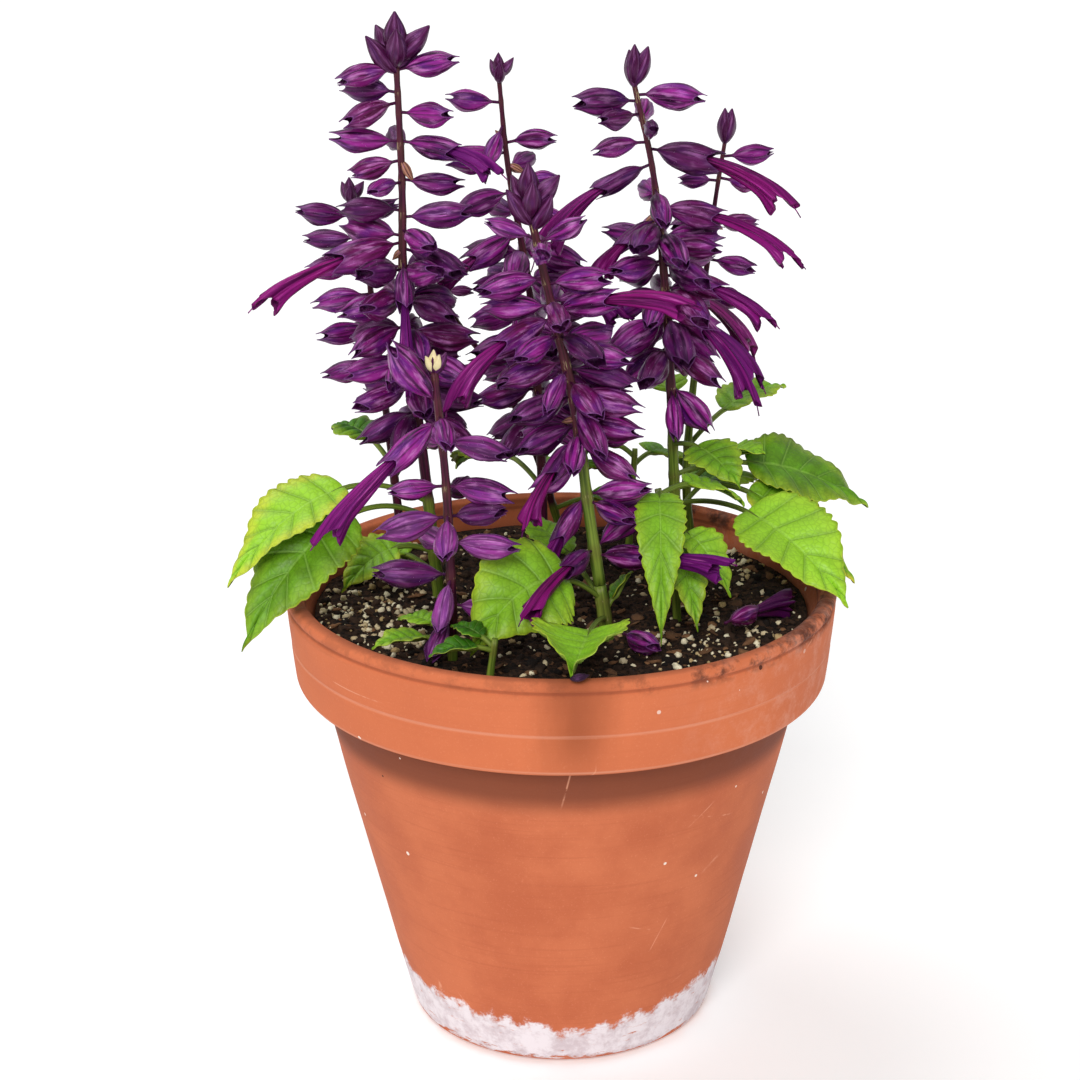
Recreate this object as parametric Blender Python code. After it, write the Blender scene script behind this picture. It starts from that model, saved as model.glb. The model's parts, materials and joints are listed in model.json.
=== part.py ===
"""A potted purple bedding sage: a turned clay pot filled with soil, and eight flowering stems with leaves.

The origin is the middle of the pot's underside. +Z is up, the front is towards -Y and the right is +X.
Sizes and places are in millimetres, and MM turns them into Blender's metres as each mesh is made.
"""

import math
import random

import bmesh
import bpy
import numpy as np
from mathutils.bvhtree import BVHTree

MM = 0.001
GAP = 0.3
SEED = 27

# The pot: a standard clay pot, 182 mm across its rim and 153 mm high
RIM_RADIUS = 91.0
POT_HEIGHT = 153.0
BASE_RADIUS = 52.0
BAND_HEIGHT = 32.0
BAND_LOW_RADIUS = 88.2
SHOULDER_RADIUS = 80.0
LIP_THICKNESS = 6.2
LIP_GROOVE_DROP = 4.2
FLOOR_THICKNESS = 8.5
INNER_BASE_RADIUS = 45.5
DRAIN_RADIUS = 10.0
POT_SIDES = 32

# The soil
SOIL_HEIGHT = 142.0
SOIL_BUMP = 1.1
SOIL_SIDES = 24
SOIL_RINGS = (77.0, 67.0, 55.0, 42.0, 28.0, 14.0)
HOLE_RADIUS = 3.6
HOLE_DEPTH = 18.0
HOLE_OVERSHOOT = 6.0
HOLE_SIDES = 6

# The stems, from the soil up: points on the centre line, radius low and high, and where purple starts
STEMS = {
    "tall_left": {
        "path": ((-41, 9, 142), (-45, 7, 190), (-50, 5, 240), (-50, 5, 284), (-51, 5, 322)),
        "radius": (2.3, 1.0),
        "split": 196,
    },
    "middle_back": {
        "path": ((-6, 37, 142), (-7, 34, 190), (-10, 30, 239), (-17, 30, 282), (-20, 30, 313)),
        "radius": (2.2, 0.8),
        "split": 188,
    },
    "front": {
        "path": ((15, -28, 142), (9, -26, 183), (4, -22, 219), (-4, -20, 254), (-10, -20, 281)),
        "radius": (2.5, 1.2),
        "split": 160,
    },
    "short_front": {
        "path": ((-34, -46, 142), (-34, -47, 166), (-35, -48, 200), (-38, -48, 236)),
        "radius": (1.9, 1.2),
        "split": 150,
    },
    "tall_right": {
        "path": ((41, 31, 142), (38, 22, 179), (35, 20, 232), (30, 20, 280), (23, 20, 312)),
        "radius": (2.4, 0.9),
        "split": 206,
    },
    "small_right": {
        "path": ((46, 42, 142), (43, 38, 180), (48, 42, 240), (51, 44, 268), (54, 45, 289)),
        "radius": (2.0, 0.7),
        "split": 216,
    },
    "small_left": {
        "path": ((-54, 36, 142), (-58, 33, 190), (-62, 31, 232), (-64, 30, 252), (-69, 30, 273)),
        "radius": (1.9, 0.8),
        "split": 205,
    },
    "leaning_back": {
        "path": ((2, 56, 142), (-9, 51, 180), (-21, 47, 208), (-34, 45, 226), (-46, 44, 247)),
        "radius": (1.7, 0.8),
        "split": 176,
    },
}
STEM_SIDES = 4
STEM_STEP = 18.0
SPLIT_CLEAR = 2.0

# Short leafy shoots with no flowers: points on the centre line and the radius low and high
SHOOTS = {
    "right_shoot": {"path": ((38, -14, 142), (36, -14, 165), (31, -15, 188)), "radius": (1.7, 1.2)},
    "front_shoot": {"path": ((-22, -66, 142), (-21, -66, 150), (-20, -66, 157)), "radius": (1.5, 1.1)},
    "back_shoot": {"path": ((24, 58, 142), (25, 60, 160), (26, 61, 178)), "radius": (1.6, 1.1)},
}

# Flowers: height on the stem, azimuth, pitch and calyx length.
# Azimuth 0 is right, 90 back, 180 left and 270 front; angles are in degrees.
CALYCES = {
    "tall_left": (
        (318, 190, 22, 15), (318, 352, 14, 16), (311, 170, 8, 16), (308, 208, -6, 16),
        (305, 335, 0, 15), (296, 188, 2, 18), (293, 100, 10, 15), (290, 165, -14, 14),
        (284, 352, -6, 16), (283, 235, 5, 13), (274, 172, 8, 17), (272, 8, 2, 18),
        (268, 300, -8, 18), (266, 190, 4, 18), (262, 340, -10, 18),
    ),
    "middle_back": (
        (304, 186, 6, 14), (297, 240, -45, 13), (291, 352, 16, 13), (288, 195, -8, 16), (283, 60, 5, 12),
        (277, 2, 18, 12), (275, 205, -5, 17), (269, 345, 0, 14), (268, 120, 0, 14),
    ),
    "front": (
        (270, 185, 28, 13), (269, 0, 25, 13), (266, 275, 15, 13), (262, 95, 20, 13), (258, 200, 0, 18),
        (256, 345, 5, 17), (236, 345, -4, 19), (232, 190, -12, 18), (226, 300, -18, 17), (222, 350, -6, 19),
        (214, 345, -12, 18), (212, 205, -10, 18), (205, 340, -20, 17), (200, 195, -25, 15),
        (190, 348, 8, 17), (188, 332, -10, 15), (172, 20, 38, 18),
    ),
    "short_front": (
        (226, 200, 52, 21), (222, 282, -5, 15), (214, 352, 0, 17), (212, 110, 10, 15), (200, 190, 0, 14),
        (200, 345, 2, 18), (197, 70, 0, 15), (190, 188, -4, 19), (191, 268, -32, 15), (190, 338, 14, 16),
        (182, 352, -6, 18), (180, 120, 0, 15), (171, 184, 2, 20), (170, 266, -38, 15), (161, 352, -6, 18),
        (157, 222, -24, 14),
    ),
    "tall_right": (
        (308, 350, 6, 18), (306, 190, 6, 17), (302, 205, 0, 13), (300, 85, 8, 14), (298, 282, 8, 11),
        (293, 186, 0, 14), (278, 278, -22, 16), (276, 100, 0, 15), (262, 195, 5, 16), (260, 345, 0, 16),
        (212, 280, -62, 15), (213, 350, -45, 17),
    ),
    "small_right": (
        (284, 2, 4, 13), (277, 350, -10, 10), (276, 150, 0, 11), (264, 210, 0, 13), (262, 20, 0, 13),
        (252, 120, -5, 13), (250, 340, -5, 13), (238, 30, -10, 14), (236, 200, -10, 13),
    ),
    "small_left": (
        (267, 188, 6, 15), (266, 20, 20, 12), (260, 172, -4, 15), (252, 195, 0, 16), (250, 90, 0, 14),
        (241, 180, -5, 16), (239, 60, -5, 14), (230, 200, -10, 16), (228, 130, -10, 15), (217, 180, -12, 16),
    ),
    "leaning_back": (
        (241, 190, 10, 8), (238, 10, 10, 8), (228, 100, 0, 9), (226, 280, 0, 9), (214, 30, 0, 9),
        (212, 190, 0, 9), (198, 100, -5, 10), (196, 300, -5, 10),
    ),
}

# Open flowers: height, azimuth, pitch, calyx length, corolla length and droop along the corolla
FLOWERS = {
    "tall_left": (
        (296, 345, -4, 16, 15, 30), (264, 198, -10, 21, 28, 22), (258, 275, -40, 15, 28, 40),
    ),
    "middle_back": (
        (262, 195, -25, 17, 22, 30), (247, 350, -10, 16, 18, 30),
    ),
    "front": (
        (248, 345, 18, 18, 26, 32), (246, 205, -18, 19, 24, 45), (208, 228, -30, 15, 18, 35),
        (172, 228, -14, 16, 26, 22), (170, 338, 8, 16, 27, 6), (190, 236, -52, 15, 15, 20),
    ),
    "short_front": (
        (221, 202, -34, 19, 31, 12),
    ),
    "tall_right": (
        (291, 350, -6, 20, 28, 34), (286, 192, -20, 17, 28, 40), (272, 2, -6, 18, 31, 38),
        (269, 205, -28, 14, 12, 25), (250, 348, -10, 17, 20, 30), (243, 338, -32, 17, 27, 34),
        (240, 352, -26, 17, 30, 34), (246, 8, -18, 17, 34, 40),
    ),
}

# Crowded whorls, by rule: highest, lowest, spacing, flowers in a whorl, pitch high and low, calyx length
CROWDS = {
    "tall_left": (255, 203, 9.5, 5, 0, -20, 19),
    "middle_back": (256, 198, 9.5, 4, 0, -20, 19),
    "front": (250, 208, 10.0, 4, 0, -20, 19),
    "tall_right": (264, 222, 9.5, 4, 0, -30, 19),
}
CROWD_TURN = 37.0
TURN_SCATTER = 9.0
PITCH_SCATTER = 7.0
HEIGHT_SCATTER = 1.2
SIZE_SCATTER = (0.88, 1.06)

# The bud heads on top: number of buds, their length, lowest pitch and how far the roots are spread
HEADS = {
    "tall_left": (6, 15.0, 42.0, 6.0),
    "middle_back": (4, 8.0, 50.0, 4.0),
    "front": (7, 14.0, 45.0, 9.0),
    "short_front": (3, 8.0, 60.0, 3.0),
    "tall_right": (3, 13.0, 68.0, 3.0),
    "small_right": (2, 12.0, 76.0, 2.0),
    "small_left": (4, 8.0, 50.0, 3.0),
    "leaning_back": (2, 7.0, 55.0, 2.0),
}

TOP_BUD = (250.0, 86.0)
HEAD_TURN = 137.5
HEAD_PITCH_STEP = 6.0
HEAD_SIZE_STEP = 0.05

# Leaves: height on the stem, tip, rise of the midrib, half-width, roll and the petiole's share
LEAVES = {
    "tall_left": (
        (170, (-101, -40, 142), 42, 16.0, 22, 0.42), (176, (-106, -30, 160), 35, 14.0, 10, 0.42),
        (158, (-72, -8, 150), 16, 9.0, 25, 0.40), (150, (-70, 26, 149), 12, 9.0, 0, 0.35),
    ),
    "middle_back": (
        (172, (-38, 76, 166), 20, 15.0, 0, 0.32), (182, (18, 64, 184), 12, 12.0, 0, 0.32),
    ),
    "front": (
        (149, (3, -91, 154), 9, 15.0, -8, 0.46), (155, (-28, -61, 149), 30, 18.0, 37, 0.26),
        (150, (23, -20, 162), 4, 5.0, 30, 0.25), (154, (-14, 6, 172), 10, 8.0, 0, 0.40),
    ),
    "short_front": (
        (147, (-58, -62, 150), 7, 6.0, 0, 0.35), (148, (-52, -32, 150), 8, 6.0, 0, 0.35),
    ),
    "tall_right": (
        (181, (105, 32, 166), 19, 17.0, -20, 0.36), (176, (98, 6, 148), 26, 14.0, -15, 0.40),
        (170, (92, -27, 150), 25, 17.0, -15, 0.42), (192, (58, -8, 186), 10, 10.0, -10, 0.35),
        (166, (68, 60, 166), 16, 14.0, 0, 0.32),
    ),
    "small_right": (
        (186, (78, 56, 202), 12, 12.0, 0, 0.35), (172, (72, 22, 186), 10, 10.0, 0, 0.35),
        (196, (28, 62, 202), 10, 10.0, 0, 0.35),
    ),
    "small_left": (
        (180, (-79, 46, 190), 12, 11.0, 0, 0.35), (176, (-38, 62, 180), 12, 10.0, 0, 0.35),
    ),
    "leaning_back": (
        (164, (8, 84, 160), 16, 13.0, 0, 0.30), (158, (30, 42, 164), 8, 9.0, 0, 0.35),
    ),
    "right_shoot": (
        (187, (31, -55, 150), 26, 8.5, 0, 0.14), (170, (43, -43, 150), 14, 7.0, 0, 0.28),
        (174, (54, -31, 155), 14, 8.0, -10, 0.30), (186, (60, -2, 178), 12, 10.0, 0, 0.30),
    ),
    "front_shoot": (
        (153, (-40, -73, 154), 5, 5.5, 0, 0.25), (154, (-34, -58, 156), 5, 5.5, 0, 0.25),
    ),
    "back_shoot": (
        (172, (46, 76, 164), 14, 12.0, 0, 0.28), (175, (8, 72, 172), 10, 10.0, 0, 0.28),
    ),
}

# What has fallen on the soil: the stalk end, azimuth, calyx length, and any corolla's length and droop
FALLEN = {
    "fallen_calyx": ((19, -33), 308, 15),
    "fallen_flower": ((52, -34), 50, 13, 22, 4),
}
FALLEN_STEP = 0.1

# Shapes of the small parts
FLOWER_SIDES = 5
CROWD_SIDES = 4
CALYX_SLIMNESS = 0.235
PEDICEL = 3.5
CALYX_DROOP = 8.0
CALYX_RINGS = ((0.20, 0.72), (0.60, 1.0))
LIP_SINUS = 0.86
CLOSED_MOUTH = {"lobe": 0.20, "sinus": 0.58, "depth": 0.84}
OPEN_MOUTH = {"lobe": 0.62, "sinus": 0.78, "depth": 0.70}
BUD_RINGS = ((0.25, 0.85), (0.60, 0.90))
BUD_SLIMNESS = 0.21
BUD_CURL = 6.0
COROLLA_START = 0.55
COROLLA_DIP = 4.0
COROLLA_RINGS = ((0.35, 1.9), (0.75, 2.6))
COROLLA_LIPS = ((1.0, 2.4), (0.88, 2.7), (0.95, 4.6), (0.95, 4.6), (0.88, 2.7))
COROLLA_MOUTH = 0.82
LEAF_THICKNESS = 0.7
PETIOLE_RADIUS = 0.9
PETIOLE_DEPTHS = (1.7, 1.4)
BLADE_STATIONS = 9
SMALL_LEAF = 10.5
SMALL_BLADE_STATIONS = 5
WIDEST_SHARE = 0.34
TIP_TAPER = 1.15
TIP_WIDTH = 0.35
TOOTH_DEPTH = 0.22
LEAF_FOLD = 0.16

# How far a flower or leaf may turn or lift to stay clear of its neighbours, in degrees and millimetres
TURNS = (0, 11, -11, 22, -22, 34, -34, 47, -47, 60, -60)
LIFTS = (0, 12, -12, 24, -24)
LIFT_COST = 1.5
LEAF_LIFTS = (0, 2, 4, -2, 7, 10, -5, 14, 18)
LEAF_SWINGS = (0, 6, -6, 12, -12, 20, -20)

COLOURS = {
    "clay": (0.62, 0.22, 0.09),
    "soil": (0.035, 0.022, 0.015),
    "leaf": (0.26, 0.48, 0.05),
    "bloom": (0.10, 0.012, 0.11),
    "fallen": (0.07, 0.008, 0.08),
}
SHARP_ANGLE = 35.0
ROUGHNESS = {"clay": 0.75, "soil": 0.95, "leaf": 0.5, "bloom": 0.6, "fallen": 0.7}


def unit(vector):
    return vector / np.linalg.norm(vector)


def smooth_path(points, step):
    """Points about a step apart on a smooth curve through the given ones."""
    points = [np.array(p, float) for p in points]
    ends = [2 * points[0] - points[1]] + points + [2 * points[-1] - points[-2]]
    result = []
    for before, start, end, after in zip(ends, ends[1:], ends[2:], ends[3:]):
        pieces = max(1, round(np.linalg.norm(end - start) / step))
        for i in range(pieces):
            t = i / pieces
            result.append(
                0.5 * (2 * start + (end - before) * t
                       + (2 * before - 5 * start + 4 * end - after) * t ** 2
                       + (3 * start - before - 3 * end + after) * t ** 3)
            )
    result.append(points[-1])
    return np.array(result)


def on_stem(path, height):
    """The centre of a stem at a height."""
    return np.array([np.interp(height, path[:, 2], path[:, i]) for i in range(3)])


def loft(rings, start=None, end=None):
    """A closed solid through rings of equal size, whose start and end are each flat or drawn to a point."""
    count = len(rings[0])
    points = np.concatenate(rings)
    if start is None:
        faces = [(0, i + 1, i) for i in range(1, count - 1)]
    else:
        points = np.vstack([points, start])
        faces = [((i + 1) % count, i, len(points) - 1) for i in range(count)]
    for k in range(len(rings) - 1):
        for i in range(count):
            a = k * count + i
            b = k * count + (i + 1) % count
            faces += [(a, b, b + count), (a, b + count, a + count)]
    last = (len(rings) - 1) * count
    if end is None:
        faces += [(last, last + i, last + i + 1) for i in range(1, count - 1)]
    else:
        points = np.vstack([points, end])
        faces += [(last + i, last + (i + 1) % count, len(points) - 1) for i in range(count)]
    return points, faces


def ring(centre, side, up, radii, angles):
    return np.array([
        centre + r * (math.cos(a) * side + math.sin(a) * up) for r, a in zip(radii, angles)
    ])


def circle(sides, first=math.pi / 2):
    return [first + 2 * math.pi * i / sides for i in range(sides)]


def tube(path, radii, sides):
    """A closed tube along a path, kept from twisting."""
    rings = []
    side = np.array([1.0, 0.0, 0.0])
    for i, centre in enumerate(path):
        along = unit(path[min(i + 1, len(path) - 1)] - path[max(i - 1, 0)])
        side = unit(side - along * side.dot(along))
        up = np.cross(along, side)
        rings.append(ring(centre, side, up, [radii[i]] * sides, circle(sides, math.pi / 4)))
    return loft(rings)


def arc(root, azimuth, pitch, length, droop):
    """A function giving the centre, side and up directions at a share of a drooping axis."""
    turn = math.radians(azimuth)
    out = np.array([math.cos(turn), math.sin(turn), 0.0])
    side = np.array([-math.sin(turn), math.cos(turn), 0.0])
    rise = math.radians(pitch)
    bend = math.radians(-droop) or 1e-6

    def at(share):
        angle = rise + bend * share
        run = (math.sin(angle) - math.sin(rise)) / bend
        climb = -(math.cos(angle) - math.cos(rise)) / bend
        centre = root + length * (out * run + np.array([0.0, 0.0, climb]))
        up = -math.sin(angle) * out + np.array([0.0, 0.0, math.cos(angle)])
        return centre, side, up

    return at


def calyx(root, azimuth, pitch, length, opened=False, grow=0.0, sides=FLOWER_SIDES):
    """A calyx: a short stalk that widens to a bell, with one upper and two lower pointed lips."""
    whole = length + PEDICEL
    at = arc(root, azimuth, pitch, whole, CALYX_DROOP)
    radius = length * CALYX_SLIMNESS + grow
    angles = circle(sides)
    rings = []
    for share, size in CALYX_RINGS:
        rings.append(ring(*at((PEDICEL + share * length) / whole), [size * radius] * sides, angles))
    mouth = OPEN_MOUTH if opened else CLOSED_MOUTH
    lips = []
    for angle in angles:
        is_lobe = abs(math.sin(angle)) > 0.5
        share = 1.0 if is_lobe else LIP_SINUS
        size = mouth["lobe" if is_lobe else "sinus"]
        centre, side, up = at((PEDICEL + share * length) / whole)
        lips.append(centre + size * radius * (math.cos(angle) * side + math.sin(angle) * up))
    rings.append(np.array(lips))
    return loft(rings, start=root, end=at((PEDICEL + mouth["depth"] * length) / whole)[0])


def bud(root, azimuth, pitch, length):
    """A slim closed bud, pointed at both ends."""
    at = arc(root, azimuth, pitch, length, -BUD_CURL)
    radius = BUD_SLIMNESS * length
    angles = circle(CROWD_SIDES)
    rings = [ring(*at(share), [size * radius] * CROWD_SIDES, angles) for share, size in BUD_RINGS]
    return loft(rings, start=root, end=at(1.0)[0])


def corolla(root, azimuth, pitch, calyx_length, length, droop, grow=0.0):
    """A petal tube from inside the calyx to a hooded upper lip and two turned-down lower lobes."""
    inside = COROLLA_START * calyx_length
    whole = calyx_length + PEDICEL
    start = arc(root, azimuth, pitch, whole, CALYX_DROOP)((inside + PEDICEL) / whole)[0]
    at = arc(start, azimuth, pitch - COROLLA_DIP, length + calyx_length - inside, droop)
    angles = circle(FLOWER_SIDES)
    rings = [ring(*at(s), [r + grow] * FLOWER_SIDES, angles) for s, r in COROLLA_RINGS]
    lips = []
    for angle, (share, size) in zip(angles, COROLLA_LIPS):
        centre, side, up = at(share)
        lips.append(centre + (size + grow) * (math.cos(angle) * side + math.sin(angle) * up))
    rings.append(np.array(lips))
    return loft(rings, start=start, end=at(COROLLA_MOUTH)[0])


def outline(share):
    """The half-width of a pointed oval blade, as a share of its widest."""
    if share < WIDEST_SHARE:
        return math.sqrt(max(0.0, 1 - (1 - share / WIDEST_SHARE) ** 2))
    past = (share - WIDEST_SHARE) / (1 - WIDEST_SHARE)
    return max(0.0, math.cos(math.pi / 2 * past)) ** TIP_TAPER


def midrib(root, tip, rise):
    """A function giving the point and the direction at a share of a leaf's arched midrib."""
    control = root + 0.5 * (tip - root) + np.array([0.0, 0.0, rise])

    def at(share):
        point = (1 - share) ** 2 * root + 2 * share * (1 - share) * control + share ** 2 * tip
        along = (1 - share) * (control - root) + share * (tip - control)
        return point, unit(along)

    return at


def leaf_stations(half_width, petiole):
    """The share along the midrib, half-width and thickness of each section of a leaf."""
    stalk_low, stalk_high = PETIOLE_DEPTHS
    stations = [(0.0, PETIOLE_RADIUS, stalk_low), (petiole, PETIOLE_RADIUS, stalk_high)]
    count = SMALL_BLADE_STATIONS if half_width < SMALL_LEAF else BLADE_STATIONS
    for k in range(1, count + 1):
        share = k / count
        tooth = 1.0 if k % 2 else 1.0 - TOOTH_DEPTH
        width = max(half_width * outline(share) * tooth, TIP_WIDTH)
        stations.append((petiole + (1 - petiole) * share, width, LEAF_THICKNESS))
    return stations


def leaf(root, tip, rise, half_width, roll, petiole, grow=0.0):
    """A leaf: a slim stalk and a toothed, folded blade of even thickness."""
    at = midrib(root, tip, rise)
    flat = unit(np.array([tip[0] - root[0], tip[1] - root[1], 0.0]))
    side_flat = np.array([flat[1], -flat[0], 0.0])
    tilt = math.radians(roll)
    rings = []
    for share, width, thickness in leaf_stations(half_width, petiole):
        point, along = at(share)
        level = unit(np.cross(side_flat, along))
        across = np.cross(along, level)
        side = math.cos(tilt) * across + math.sin(tilt) * level
        normal = math.cos(tilt) * level - math.sin(tilt) * across
        half = (thickness / 2 + grow) * normal
        lift = LEAF_FOLD * width * normal
        left = point - (width + grow) * side + lift
        right = point + (width + grow) * side + lift
        low = [right - half, point - half, left - half]
        high = [left + half, point + half, right + half]
        rings.append(np.array(low + high))
    return blade_solid(rings)


def blade_solid(rings):
    """Joins sections of six points, split into triangles alike on the two faces of the blade."""
    points = np.concatenate(rings)
    faces = [(0, 4, 1), (0, 5, 4), (1, 4, 3), (1, 3, 2)]
    for k in range(len(rings) - 1):
        a, b = 6 * k, 6 * (k + 1)
        for i, j in ((0, 1), (2, 1)):
            low, high = (i, j), (5 - i, 5 - j)
            faces += oriented(a, b, low, flip=i > j)
            faces += oriented(a, b, high, flip=i < j)
        faces += [(a, b, b + 5), (a, b + 5, a + 5)]
        faces += [(a + 3, b + 3, b + 2), (a + 3, b + 2, a + 2)]
    last = 6 * (len(rings) - 1)
    faces += [(last + p, last + r, last + q) for p, q, r in faces[:4]]
    return points, faces


def oriented(a, b, pair, flip):
    """Two triangles between an outer point and a midrib point of one section and the next."""
    i, j = pair
    made = [(a + i, a + j, b + j), (a + i, b + j, b + i)]
    return [face[::-1] for face in made] if flip else made


class Crowd:
    """What has been placed so far, so that each new solid can be turned clear of the rest.

    A solid is tested whole against other nodes' solids, and without its stalk against its own node's.
    """

    def __init__(self):
        self.placed = []

    def add(self, solid, owner, past_stalk=None):
        low, high = solid[0].min(axis=0), solid[0].max(axis=0)
        self.placed.append((low, high, tree_of(solid), past_stalk and tree_of(past_stalk), owner))

    def clear(self, solid, owner, past_stalk):
        low, high = solid[0].min(axis=0), solid[0].max(axis=0)
        whole, free = tree_of(solid), tree_of(past_stalk)
        for other_low, other_high, other_whole, other_free, other_owner in self.placed:
            if (low > other_high).any() or (high < other_low).any():
                continue
            if owner != other_owner and whole.overlap(other_whole):
                return False
            if owner == other_owner and other_free and free.overlap(other_free):
                return False
        return True


def tree_of(solid):
    points, faces = solid
    return BVHTree.FromPolygons([tuple(p) for p in points], faces)


def without_root(solid):
    """A calyx without the faces that meet its root, where stalks may touch inside the stem."""
    points, faces = solid
    root = len(points) - 2
    return points, [face for face in faces if root not in face]


def without_petiole(solid):
    """A leaf's blade alone."""
    points, faces = solid
    return points, [face for face in faces if min(face) >= 6]


def place_flower(crowd, owner, path, row, sides=FLOWER_SIDES):
    """The solids of one calyx or open flower, turned clear of all that stands, or nothing."""
    height, azimuth, pitch, length = row[:4]
    petals = row[4:]
    root = on_stem(path, height)
    tries = sorted(((abs(t) + LIFT_COST * abs(l), t, l) for t in TURNS for l in LIFTS))
    for _, turn, lift in tries:
        aim = (root, azimuth + turn, pitch + lift, length)
        wide = calyx(*aim, opened=bool(petals), grow=GAP, sides=sides)
        fits = crowd.clear(wide, owner, without_root(wide))
        if fits and petals:
            wide = corolla(*aim, *petals, grow=GAP)
            fits = crowd.clear(wide, owner, wide)
        if fits:
            made = [calyx(*aim, opened=bool(petals), sides=sides)]
            crowd.add(made[0], owner, without_root(made[0]))
            if petals:
                made.append(corolla(*aim, *petals))
                crowd.add(made[1], owner, made[1])
            return made
    return []


def place_leaf(crowd, owner, path, row):
    """A leaf lifted or swung clear of all that stands, or nothing."""
    height, tip, rise, half_width, roll, petiole = row
    root = on_stem(path, height)
    tries = sorted(((abs(l) + abs(s), l, s) for l in LEAF_LIFTS for s in LEAF_SWINGS))
    for _, lift, swing in tries:
        turn = math.radians(swing)
        reach = np.array(tip, float) - root
        swung = np.array([
            reach[0] * math.cos(turn) - reach[1] * math.sin(turn),
            reach[0] * math.sin(turn) + reach[1] * math.cos(turn),
            reach[2] + lift,
        ])
        shape = (root, root + swung, rise, half_width, roll, petiole)
        wide = leaf(*shape, grow=GAP)
        if crowd.clear(wide, owner, without_petiole(wide)):
            made = leaf(*shape)
            crowd.add(made, owner, without_petiole(made))
            return [made]
    return []


def place_fallen(crowd, name, row):
    """A fallen calyx or flower, raised out of the soil until it lies just above it."""
    (x, y), azimuth, length, *petals = row
    height = SOIL_HEIGHT
    while True:
        aim = (np.array([x, y, height]), azimuth, 0, length)
        wide = [calyx(*aim, opened=bool(petals), grow=GAP)]
        made = [calyx(*aim, opened=bool(petals))]
        if petals:
            wide.append(corolla(*aim, *petals, grow=GAP))
            made.append(corolla(*aim, *petals))
        if all(crowd.clear(solid, name, solid) for solid in wide):
            break
        height += FALLEN_STEP
    for solid in made:
        crowd.add(solid, name, solid)
    return made


def head(path, row):
    """The bud head: slim buds that fan out round the tip of a stem."""
    count, length, pitch, spread = row
    tip = path[-1]
    buds = [bud(on_stem(path, tip[2] - 1.0), *TOP_BUD, length)]
    for i in range(count - 1):
        root = on_stem(path, tip[2] - spread * (i + 1) / count)
        size = length * (1 - HEAD_SIZE_STEP * (i % 2))
        buds.append(bud(root, HEAD_TURN * i, pitch + HEAD_PITCH_STEP * (i % 3), size))
    return buds


def crowd_rows(row, stem_number):
    """Rows for crowded whorls that turn as they go down the stem."""
    top, bottom, step, count, high_pitch, low_pitch, length = row
    draw = random.Random(SEED + stem_number)
    rows = []
    height = top
    number = 0
    while height >= bottom:
        down = (top - height) / (top - bottom)
        for i in range(count):
            azimuth = CROWD_TURN * number + 360 * i / count
            azimuth += draw.uniform(-TURN_SCATTER, TURN_SCATTER)
            pitch = high_pitch + (low_pitch - high_pitch) * down
            pitch += draw.uniform(-PITCH_SCATTER, PITCH_SCATTER)
            level = height + draw.uniform(-HEIGHT_SCATTER, HEIGHT_SCATTER)
            rows.append((level, azimuth % 360, pitch, length * draw.uniform(*SIZE_SCATTER)))
        height -= step
        number += 1
    return rows


def turned(profile, sides):
    """A solid turned from a closed profile of radius and height: up the outside, then down the inside."""
    rings = []
    for i in range(sides):
        angle = 2 * math.pi * i / sides
        rings.append([(r * math.cos(angle), r * math.sin(angle), z) for r, z in profile])
    count = len(profile)
    points = np.array(rings).reshape(-1, 3)
    faces = []
    for i in range(sides):
        for j in range(count):
            a, b = i * count + j, i * count + (j + 1) % count
            c, d = (i + 1) % sides * count + (j + 1) % count, (i + 1) % sides * count + j
            faces += [(a, d, c), (a, c, b)]
    return points, faces


def pot_profile():
    """The pot's section: outside upwards from the drain hole, over the lip and down the inside."""
    band_low = POT_HEIGHT - BAND_HEIGHT
    groove = POT_HEIGHT - LIP_GROOVE_DROP
    lip = RIM_RADIUS - LIP_THICKNESS
    return [
        (DRAIN_RADIUS, 0.0),
        (BASE_RADIUS - 3.0, 0.0),
        (BASE_RADIUS - 0.6, 1.2),
        (BASE_RADIUS + 0.4, 4.0),
        (SHOULDER_RADIUS, band_low - 1.0),
        (BAND_LOW_RADIUS - 1.2, band_low),
        (BAND_LOW_RADIUS, band_low + 1.6),
        (RIM_RADIUS - 0.6, groove - 1.0),
        (RIM_RADIUS - 1.4, groove),
        (RIM_RADIUS - 0.2, groove + 1.4),
        (RIM_RADIUS - 0.8, POT_HEIGHT - 0.8),
        (RIM_RADIUS - LIP_THICKNESS / 2, POT_HEIGHT),
        (lip + 0.6, POT_HEIGHT - 1.0),
        (lip, POT_HEIGHT - 3.0),
        (inner_radius(band_low), band_low),
        (INNER_BASE_RADIUS, FLOOR_THICKNESS + 3.0),
        (INNER_BASE_RADIUS - 3.5, FLOOR_THICKNESS),
        (DRAIN_RADIUS, FLOOR_THICKNESS),
    ]


def inner_radius(height):
    """The radius of the pot's inside wall at a height."""
    lip = RIM_RADIUS - LIP_THICKNESS
    band_low = POT_HEIGHT - BAND_HEIGHT
    heights = (FLOOR_THICKNESS + 3.0, band_low, POT_HEIGHT - 3.0)
    return float(np.interp(height, heights, (INNER_BASE_RADIUS, SHOULDER_RADIUS - 5.4, lip)))


def level_ring(radius, height, bumps):
    """Points round the pot's axis at one radius, each raised by its own bump."""
    angles = circle(len(bumps), 0)
    return np.array([
        (radius * math.cos(a), radius * math.sin(a), height + bump) for a, bump in zip(angles, bumps)
    ])


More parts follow.
